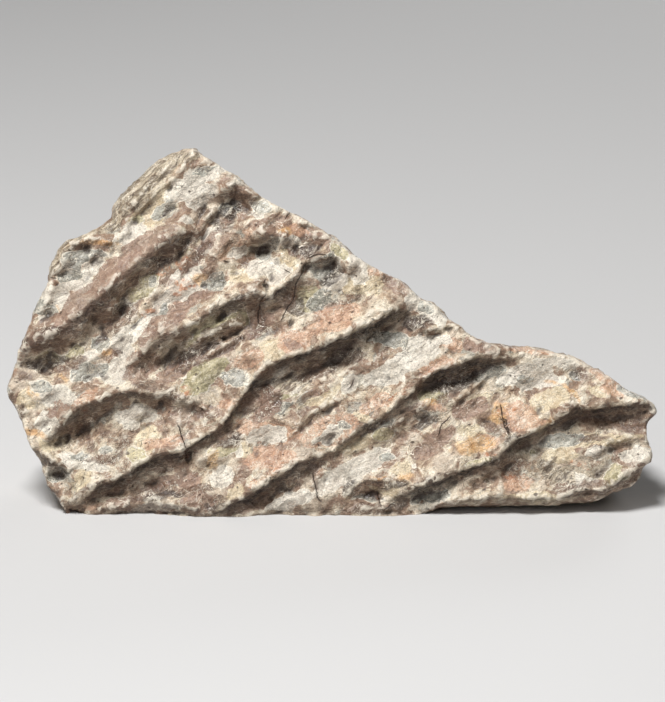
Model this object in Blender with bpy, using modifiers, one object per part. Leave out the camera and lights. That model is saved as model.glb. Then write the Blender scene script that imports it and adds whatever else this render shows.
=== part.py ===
"""Fossil amphibian scute: one thick chunk of ridged dermal bone, standing on its lower edge.

The shape is worked out on the ornamented face, in millimetres: u runs right along the face, v up it
and w out of it, with u = 0 at the middle of the length and w = 0 at the level of the crests. The
finished face leans back on its base, which is cut flat on the ground plane, Z = 0.
"""

import math

import bmesh
import bpy
import numpy as np
from mathutils import Matrix, Vector, noise

MM = 0.001
LEAN = math.radians(16)  # how far the ornamented face leans back from upright

SLAB_THICKNESS = 12.0  # of the plain slab that the rough shape is drawn out of
FACE_SETBACK = 2.0  # groove floors lie this far behind the crests
DEPTH_AT_BASE = 19.5  # from the crests to the back surface, at the lower edge
DEPTH_LOST_PER_HEIGHT = 0.18  # the chunk is a wedge, thinner at its top
DEPTH_LOST_PER_LENGTH = 0.07  # and a little thinner towards its narrow right end
BACK_INSET = 0.07  # share by which the back outline is smaller than the face
FACE_CENTRE = (2.0, 16.0)
SIDE_WAVES = 0.02  # share by which the broken sides swell and sink
SHAPE_VOXEL = 0.8  # mesh size while the slab is drawn out
MESH_VOXEL = 0.55  # mesh size of the finished shape, before it is reduced
TRIANGLES = 8600
CREST_BLEND = 0.4  # how softly crests that meet run into each other

# Outer edge of the face, clockwise from the top corner: u, v and how wide the edge rolls off.
EDGE = [
    (-17.6, 46.4, 1.2), (-15.0, 44.8, 0.8), (-12.2, 43.1, 0.9), (-9.2, 40.6, 0.9),
    (-6.5, 39.0, 0.7), (-1.5, 36.4, 0.8), (1.0, 34.5, 0.8), (3.5, 32.5, 0.8), (8.5, 30.0, 1.2),
    (11.0, 27.6, 1.0), (12.8, 26.9, 0.8), (14.4, 25.1, 1.0), (16.6, 23.4, 0.9), (19.4, 22.0, 0.8),
    (27.0, 21.1, 0.9), (30.0, 20.4, 1.0), (32.2, 19.1, 0.8), (35.0, 17.6, 0.8), (36.8, 16.1, 0.8),
    (40.6, 14.0, 0.8), (40.4, 12.9, 0.7), (39.2, 12.4, 0.6), (39.1, 11.1, 0.6), (40.1, 8.2, 0.8),
    (39.9, 7.2, 1.0), (38.5, 6.4, 1.0), (38.4, 5.1, 0.8), (37.2, 4.0, 0.8), (33.5, 2.4, 1.1),
    (28.5, 1.7, 1.4), (21.0, 1.4, 1.4), (13.5, 1.0, 1.2), (6.0, 0.0, 1.0), (-1.5, -1.5, 0.9),
    (-18.0, -2.0, 1.0), (-30.0, -1.6, 1.0), (-32.6, 0.6, 1.2), (-34.4, 3.0, 1.2), (-35.8, 4.6, 1.0),
    (-36.2, 7.1, 1.0), (-37.6, 9.1, 1.0), (-38.4, 11.4, 1.2), (-39.8, 14.4, 1.8),
    (-40.9, 16.0, 1.5), (-39.8, 18.2, 1.0), (-39.1, 21.1, 0.9), (-36.9, 27.1, 1.4),
    (-35.2, 29.8, 1.2), (-35.2, 31.4, 1.5), (-34.4, 33.4, 1.6), (-32.8, 35.1, 1.8),
    (-31.0, 35.5, 2.0), (-29.2, 36.6, 2.6), (-27.6, 37.6, 3.0), (-27.4, 38.9, 3.0),
    (-26.6, 40.5, 3.2), (-24.5, 42.6, 3.5), (-22.1, 44.8, 3.4), (-20.0, 45.8, 2.6),
]

# The crests of the ornament. Each has the width of its broad upper flank and of its steep lower
# flank, and the points of its crest from left to right: u, v and height over the groove floor.
CRESTS = {
    "rim_left": (1.9, 1.0, [(-36.8, 23.6, 0.8), (-35.0, 28.0, 1.1), (-34.0, 31.4, 1.2)]),
    "rim_bump": (1.3, 1.5, [(-34.0, 31.4, 1.2), (-31.4, 34.8, 1.8), (-26.5, 34.9, 1.9)]),
    "rim_top": (1.6, 2.0, [(-26.5, 34.9, 1.8), (-23.0, 39.5, 1.6), (-17.2, 45.1, 0.8)]),
    "first": (3.0, 2.2, [
        (-40.0, 20.6, 1.5), (-34.6, 23.1, 2.8), (-28.4, 28.2, 3.1), (-23.0, 33.4, 3.1),
        (-18.5, 36.4, 2.5), (-15.2, 40.0, 2.1), (-12.5, 41.8, 1.9), (-9.9, 40.8, 1.0)]),
    "short": (2.4, 1.9, [
        (-15.9, 29.2, 0.8), (-12.0, 33.8, 2.0), (-9.0, 36.1, 2.1), (-4.0, 35.4, 0.8)]),
    "second": (3.9, 2.2, [
        (-27.5, 17.4, 0.8), (-24.0, 21.0, 2.1), (-18.8, 24.9, 2.5), (-11.5, 28.8, 2.5),
        (-8.0, 28.0, 1.5)]),
    "cross": (2.0, 1.6, [
        (-8.8, 27.1, 1.1), (-5.5, 30.0, 1.9), (-2.2, 33.1, 1.6), (1.5, 32.3, 1.4), (3.0, 32.1, 0.6)]),
    "low_left": (3.5, 2.0, [
        (-36.0, 9.1, 0.8), (-33.0, 12.6, 2.2), (-27.4, 16.0, 2.2), (-21.2, 15.4, 1.5),
        (-14.2, 12.4, 1.0)]),
    "third": (4.2, 1.9, [
        (12.2, 27.4, 1.0), (7.0, 26.1, 2.9), (-3.6, 20.9, 3.0), (-8.0, 18.4, 2.9),
        (-14.8, 11.4, 2.4), (-18.6, 8.8, 2.5), (-23.4, 7.1, 2.6), (-28.4, 4.8, 2.2),
        (-31.8, 2.1, 1.0)]),
    "fourth": (4.6, 2.0, [
        (-14.8, 0.8, 1.0), (-10.5, 3.2, 2.8), (-4.4, 7.2, 2.9), (0.6, 8.6, 2.8), (3.5, 11.5, 2.9),
        (7.9, 13.9, 2.9), (11.6, 18.1, 2.8), (17.8, 20.5, 2.0), (24.5, 20.9, 0.5)]),
    "fifth": (4.8, 1.8, [
        (7.0, 2.6, 0.8), (12.5, 4.8, 2.5), (20.5, 7.9, 2.9), (22.8, 10.4, 3.0), (25.8, 10.9, 3.0),
        (29.9, 13.8, 3.0), (38.0, 14.8, 2.0), (40.0, 14.2, 1.2)]),
    "sixth": (2.7, 1.0, [
        (11.0, 1.4, 0.5), (19.8, 2.8, 1.6), (28.1, 2.9, 1.5), (35.5, 5.0, 1.4), (39.8, 7.9, 1.2)]),
    "far_fold": (1.2, 1.2, [(28.8, 8.0, 0.2), (34.1, 9.6, 0.9), (39.0, 10.2, 0.9)]),
    "foot_left": (1.8, 0.9, [(-31.0, 0.4, 0.2), (-24.0, 2.0, 1.0), (-16.8, 1.6, 1.1)]),
    "foot_middle": (1.8, 1.0, [(-13.8, -0.4, 0.8), (-5.9, 2.4, 1.1), (-1.8, 4.9, 0.5)]),
    "low_corner": (2.2, 1.2, [(-37.4, 9.1, 1.0), (-33.0, 6.5, 1.6), (-31.2, 5.1, 1.2)]),
}

# Hollows between the crests: u, v, half length, half width, turn in degrees and depth.
HOLLOWS = [
    (-31.2, 30.9, 3.8, 1.9, 48, 1.4), (-21.5, 39.2, 5.0, 1.9, 45, 1.0),
    (-13.4, 39.2, 2.8, 1.5, 28, 1.2), (-8.0, 32.9, 2.8, 1.5, 40, 1.6),
    (-0.9, 30.4, 3.8, 1.6, 48, 1.2), (7.6, 24.0, 3.2, 1.8, 28, 1.5),
    (-14.6, 23.0, 7.5, 1.5, 32, 1.1), (-20.9, 19.6, 3.2, 1.8, 45, 1.0),
    (-36.8, 19.2, 3.0, 1.5, 10, 1.0), (-30.8, 12.1, 3.8, 1.8, 28, 1.0),
    (-34.0, 5.5, 2.2, 1.1, 35, 1.4), (-13.8, 7.1, 2.5, 2.0, 70, 0.8),
    (-22.8, 5.1, 7.5, 1.5, 10, 1.0), (-1.5, 18.9, 7.5, 1.5, 22, 0.9),
    (19.5, 18.4, 5.0, 1.0, 30, 1.0), (23.5, 9.6, 2.2, 1.0, 0, 1.0),
    (32.2, 12.9, 6.2, 1.0, 4, 0.9), (17.2, 4.6, 5.0, 1.1, 8, 0.8), (4.8, 2.8, 3.2, 1.5, 5, 0.6),
]


def clear_scene():
    for item in list(bpy.data.objects):
        bpy.data.objects.remove(item, do_unlink=True)


def new_collection(name):
    group = bpy.data.collections.new(name)
    bpy.context.scene.collection.children.link(group)
    return group


def bone_material():
    material = bpy.data.materials.new("fossil_bone")
    material.use_nodes = True
    surface = material.node_tree.nodes["Principled BSDF"]
    surface.inputs["Base Color"].default_value = (0.37, 0.29, 0.23, 1.0)
    surface.inputs["Roughness"].default_value = 0.6
    surface.inputs["Metallic"].default_value = 0.0
    return material


def positions_of(mesh):
    flat = np.empty(len(mesh.vertices) * 3)
    mesh.vertices.foreach_get("co", flat)
    return flat.reshape(-1, 3)


def set_positions(mesh, points):
    mesh.vertices.foreach_set("co", points.ravel())
    mesh.update()


def roughness_at(points, size, seed):
    """Fractal noise from -1 to 1, with features about this size in millimetres."""
    shift = Vector((seed * 11.0, seed * 7.0, seed * 3.0))
    return np.array([noise.fractal(Vector(p) / size + shift, 0.9, 2.0, 3) for p in points])


def nearest_on(path, u, v):
    """Distance from a path of (u, v), positive on its left as it is walked, and the place along it."""
    path = np.array(path)
    best = np.full(len(u), np.inf)
    side = np.ones(len(u))
    place = np.zeros(len(u))
    for i, (start, end) in enumerate(zip(path[:-1], path[1:])):
        run = end - start
        share = ((u - start[0]) * run[0] + (v - start[1]) * run[1]) / (run @ run)
        share = np.clip(share, 0.0, 1.0)
        off_u = u - start[0] - share * run[0]
        off_v = v - start[1] - share * run[1]
        distance = np.hypot(off_u, off_v)
        closer = distance < best
        best = np.where(closer, distance, best)
        side = np.where(closer, np.sign(run[0] * off_v - run[1] * off_u), side)
        place = np.where(closer, i + share, place)
    return best * side, place


def flank(distance, width):
    """1 on the crest, falling smoothly to 0 at this width from it."""
    share = np.clip(1.0 - np.abs(distance) / width, 0.0, 1.0)
    return share * share * (3.0 - 2.0 * share)


def crest_height(u, v):
    """Height of the crests over the groove floor: a broad flank above each and a steep one below."""
    total = np.zeros(len(u))
    for above, below, points in CRESTS.values():
        if points[0][0] > points[-1][0]:
            points = points[::-1]
        distance, place = nearest_on([p[:2] for p in points], u, v)
        height = np.interp(place, range(len(points)), [p[2] for p in points])
        width = np.where(distance > 0.0, above, below)
        total += np.expm1(height * flank(distance, width) / CREST_BLEND)
    return CREST_BLEND * np.log1p(total)


def hollow_depth(u, v):
    depth = np.zeros(len(u))
    for centre_u, centre_v, length, width, turn, deepest in HOLLOWS:
        cosine, sine = math.cos(math.radians(turn)), math.sin(math.radians(turn))
        along = (u - centre_u) * cosine + (v - centre_v) * sine
        across = (v - centre_v) * cosine - (u - centre_u) * sine
        depth += deepest * np.exp(-1.1 * ((along / length) ** 2 + (across / width) ** 2))
    return depth


def edge_drop(u, v):
    """How far the face rolls back as it nears its edge."""
    ring = EDGE + EDGE[:1]
    distance, place = nearest_on([p[:2] for p in ring], u, v)
    width = np.interp(place, range(len(ring)), [p[2] for p in ring])
    inward = np.clip(1.0 - np.abs(distance) / width, 0.0, 1.0)
    return width * (1.0 - np.sqrt(1.0 - inward**2))


def face_level(u, v):
    bumps = roughness_at(np.column_stack([u, v, 0.0 * u]), 3.2, 1)
    level = crest_height(u, v) - hollow_depth(u, v) - edge_drop(u, v)
    return level - FACE_SETBACK + 0.25 * bumps


def back_level(u, v):
    depth = DEPTH_AT_BASE - DEPTH_LOST_PER_HEIGHT * v - DEPTH_LOST_PER_LENGTH * np.maximum(u, 0.0)
    waves = roughness_at(np.column_stack([u, v, 0.0 * u]), 9.0, 2)
    return 0.9 * waves - depth


def plain_slab(group):
    """The outline of the face as a flat slab, from its back to its front."""
    curve = bpy.data.curves.new("slab_outline", "CURVE")
    curve.dimensions = "2D"
    curve.fill_mode = "BOTH"
    curve.extrude = SLAB_THICKNESS / 2
    spline = curve.splines.new("POLY")
    spline.points.add(len(EDGE) - 1)
    for point, (u, v, _) in zip(spline.points, EDGE):
        point.co = (u, v, 0.0, 1.0)
    spline.use_cyclic_u = True
    helper = bpy.data.objects.new("slab_outline", curve)
    helper.hide_render = True
    helper.display_type = "WIRE"
    group.objects.link(helper)
    bpy.context.view_layer.update()
    graph = bpy.context.evaluated_depsgraph_get()
    return bpy.data.meshes.new_from_object(helper.evaluated_get(graph))


def rebuilt(piece, voxel):
    """The piece's surface rebuilt as an even mesh."""
    remesh = piece.modifiers.new("even_mesh", "REMESH")
    remesh.mode = "VOXEL"
    remesh.voxel_size = voxel
    bake_modifiers(piece)


def reduced(piece, triangles):
    decimate = piece.modifiers.new("fewer_triangles", "DECIMATE")
    decimate.ratio = triangles / sum(len(face.vertices) - 2 for face in piece.data.polygons)
    decimate.use_collapse_triangulate = True
    bake_modifiers(piece)


def bake_modifiers(piece):
    graph = bpy.context.evaluated_depsgraph_get()
    baked = bpy.data.meshes.new_from_object(piece.evaluated_get(graph))
    piece.modifiers.clear()
    piece.data = baked


def draw_out(mesh):
    """Moves the slab's front to the ridged face and its back to the rough back of the chunk."""
    points = positions_of(mesh)
    share = np.clip(points[:, 2] / SLAB_THICKNESS + 0.5, 0.0, 1.0)
    u, v = points[:, 0], points[:, 1]
    front, back = face_level(u, v), back_level(u, v)
    inset = 1.0 - BACK_INSET * (1.0 - share)
    waist = np.sin(math.pi * share)
    side_bumps = roughness_at(np.column_stack([u, v, 1.5 * SLAB_THICKNESS * share]), 6.0, 3)
    inset += SIDE_WAVES * waist * side_bumps
    points[:, 0] = FACE_CENTRE[0] + (u - FACE_CENTRE[0]) * inset
    points[:, 1] = FACE_CENTRE[1] + (v - FACE_CENTRE[1]) * inset
    points[:, 2] = back + (front - back) * share
    set_positions(mesh, points)


def stand_up(mesh):
    """Turns the face upright with its lean, cuts the base flat and centres the piece over the origin."""
    upright = Matrix.Rotation(math.pi / 2 - LEAN, 4, "X")
    mesh.transform(upright)
    shape = bmesh.new()
    shape.from_mesh(mesh)
    everything = shape.verts[:] + shape.edges[:] + shape.faces[:]
    cut = bmesh.ops.bisect_plane(
        shape, geom=everything, dist=1e-5, plane_co=(0, 0, 0), plane_no=(0, 0, 1), clear_inner=True)
    rim = [item for item in cut["geom_cut"] if isinstance(item, bmesh.types.BMEdge)]
    base = bmesh.ops.contextual_create(shape, geom=rim)["faces"]
    bmesh.ops.triangulate(shape, faces=base)
    bmesh.ops.recalc_face_normals(shape, faces=shape.faces[:])
    shape.to_mesh(mesh)
    shape.free()
    points = positions_of(mesh)
    low, high = points.min(axis=0), points.max(axis=0)
    middle = Vector(((low[0] + high[0]) / 2, (low[1] + high[1]) / 2, low[2]))
    mesh.transform(Matrix.Translation(-middle))
    mesh.transform(Matrix.Scale(MM, 4))


def make_scute(group, helpers):
    piece = bpy.data.objects.new("scute", plain_slab(helpers))
    group.objects.link(piece)
    rebuilt(piece, SHAPE_VOXEL)
    draw_out(piece.data)
    rebuilt(piece, MESH_VOXEL)
    reduced(piece, TRIANGLES)
    stand_up(piece.data)
    piece.data.name = "scute"
    piece.data.materials.clear()
    piece.data.materials.append(bone_material())
    return piece


def main():
    clear_scene()
    parts = new_collection("fossil_amphibian_scute")
    helpers = new_collection("helpers")
    make_scute(parts, helpers)


main()
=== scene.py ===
"""Looks of the fossil amphibian scute: one chunk of ridged, mineralised dermal bone.

The shape and the stains are laid out on the ornamented face, in millimetres: u runs right along the
face, v up it and w out of it, with u = 0 at the middle of the length and w = 0 at the crests. The
finished face leans back on its flat base, and the piece is then scaled to metres.
"""

import math

import bmesh
import bpy
import numpy as np
from mathutils import Matrix, Vector, noise


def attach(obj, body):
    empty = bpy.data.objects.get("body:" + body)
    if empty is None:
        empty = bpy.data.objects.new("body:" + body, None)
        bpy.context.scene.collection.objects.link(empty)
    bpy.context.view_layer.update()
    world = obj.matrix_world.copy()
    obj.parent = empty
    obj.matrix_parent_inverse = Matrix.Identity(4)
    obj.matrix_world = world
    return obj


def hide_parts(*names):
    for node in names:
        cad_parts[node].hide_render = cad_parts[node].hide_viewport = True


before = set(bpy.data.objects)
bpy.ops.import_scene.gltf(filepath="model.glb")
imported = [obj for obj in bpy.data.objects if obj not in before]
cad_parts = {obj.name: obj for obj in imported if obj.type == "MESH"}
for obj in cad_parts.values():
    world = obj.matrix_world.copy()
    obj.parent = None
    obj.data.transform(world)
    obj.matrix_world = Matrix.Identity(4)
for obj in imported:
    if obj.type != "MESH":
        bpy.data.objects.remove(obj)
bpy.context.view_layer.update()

MM = 0.001
LEAN = math.radians(16)  # how far the ornamented face leans back from upright

SLAB_THICKNESS = 12.0
FACE_SETBACK = 2.0
DEPTH_AT_BASE = 19.5
DEPTH_LOST_PER_HEIGHT = 0.18
DEPTH_LOST_PER_LENGTH = 0.07
BACK_INSET = 0.07
FACE_CENTRE = (2.0, 16.0)
SHAPE_VOXEL = 0.6  # mesh size while the slab is drawn out
MESH_VOXEL = 0.235  # mesh size of the finished surface
HIDDEN_SHARE = 0.16  # share of the triangles kept off the ornamented face

SENSOR_WIDTH = 36.0
VIEW_DISTANCE = 400.0
VIEW_CENTRE = (0.06, 21.0)  # the point of the face in the middle of the view: u, v
VIEW_HEIGHT_ON_FACE = 86.6  # how much of the face plane the view takes in, top to bottom
ROOM_LIGHT = 0.045
LAMPS_AIM_AT = (0.0, 0.0, 0.02)

# Angles are in degrees, anticlockwise from the length of the piece.
GRAIN_TURN = 36  # the way the ridges, the growth and the fine grain run
FIBRE_TURN = 46  # the way the layers of the broken rim run
FACE_STARTS = 0.86  # share of the depth, from the back, where the ornamented face begins

# Outer edge of the face, clockwise from the top corner: u, v and how wide the edge rolls off.
EDGE = [
    (-17.6, 46.4, 1.2), (-16.9, 46.0, 0.6), (-15.0, 44.8, 0.8), (-12.2, 43.1, 1.0), (-10.8, 41.6, 1.0),
    (-9.2, 40.6, 0.9), (-6.5, 39.0, 0.6), (-4.0, 37.8, 0.6), (-1.5, 36.4, 0.8), (1.0, 34.5, 0.8),
    (3.5, 32.5, 0.8), (6.2, 31.0, 0.9), (8.5, 30.0, 1.2), (9.8, 28.9, 1.5), (11.0, 27.6, 1.0),
    (12.8, 26.9, 0.8), (14.4, 25.1, 1.0), (16.1, 24.2, 1.0), (16.6, 23.4, 0.8), (19.4, 22.0, 0.6),
    (23.5, 21.5, 1.0), (27.0, 21.1, 0.9), (30.0, 20.4, 1.0), (32.2, 19.1, 0.8), (35.0, 17.6, 0.8),
    (36.8, 16.1, 0.8), (39.8, 14.8, 0.8), (40.6, 14.0, 0.8), (40.4, 12.9, 0.6), (39.2, 12.4, 0.5),
    (39.1, 11.1, 0.5), (39.5, 9.2, 0.6), (40.1, 8.2, 0.9), (39.9, 7.2, 1.0), (38.5, 6.4, 1.0),
    (38.4, 5.1, 0.8), (37.2, 4.0, 0.8), (35.0, 3.4, 1.0), (33.5, 2.4, 1.0), (31.6, 2.0, 1.2),
    (28.5, 1.8, 1.5), (21.0, 1.6, 1.5), (13.5, 1.4, 1.2), (6.6, 0.9, 1.0), (1.8, 0.4, 0.8),
    (-1.5, 0.8, 0.8), (-7.8, 0.8, 0.8), (-10.2, -0.2, 1.0), (-13.4, -0.2, 1.0), (-17.1, 0.0, 1.0),
    (-18.0, 0.8, 1.0), (-22.8, 0.9, 1.0), (-30.2, 0.6, 1.0), (-32.1, 0.9, 1.2), (-34.4, 3.0, 1.1),
    (-35.8, 4.6, 1.0), (-36.2, 7.1, 1.0), (-37.6, 9.1, 1.0), (-38.4, 11.4, 1.2), (-39.8, 14.4, 1.8),
    (-40.9, 16.0, 1.5), (-39.8, 18.2, 1.0), (-39.1, 21.1, 0.9), (-37.9, 23.9, 1.1), (-36.9, 27.1, 1.5),
    (-35.2, 29.8, 1.0), (-35.2, 31.4, 1.5), (-34.4, 33.4, 1.5), (-32.8, 35.1, 1.8), (-31.0, 35.5, 2.0),
    (-29.2, 36.6, 2.5), (-27.6, 37.6, 3.0), (-27.4, 38.9, 3.0), (-26.6, 40.5, 3.2), (-24.5, 42.6, 3.5),
    (-22.1, 44.8, 3.5), (-20.0, 45.8, 2.8), (-18.6, 46.2, 2.0),
]

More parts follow.
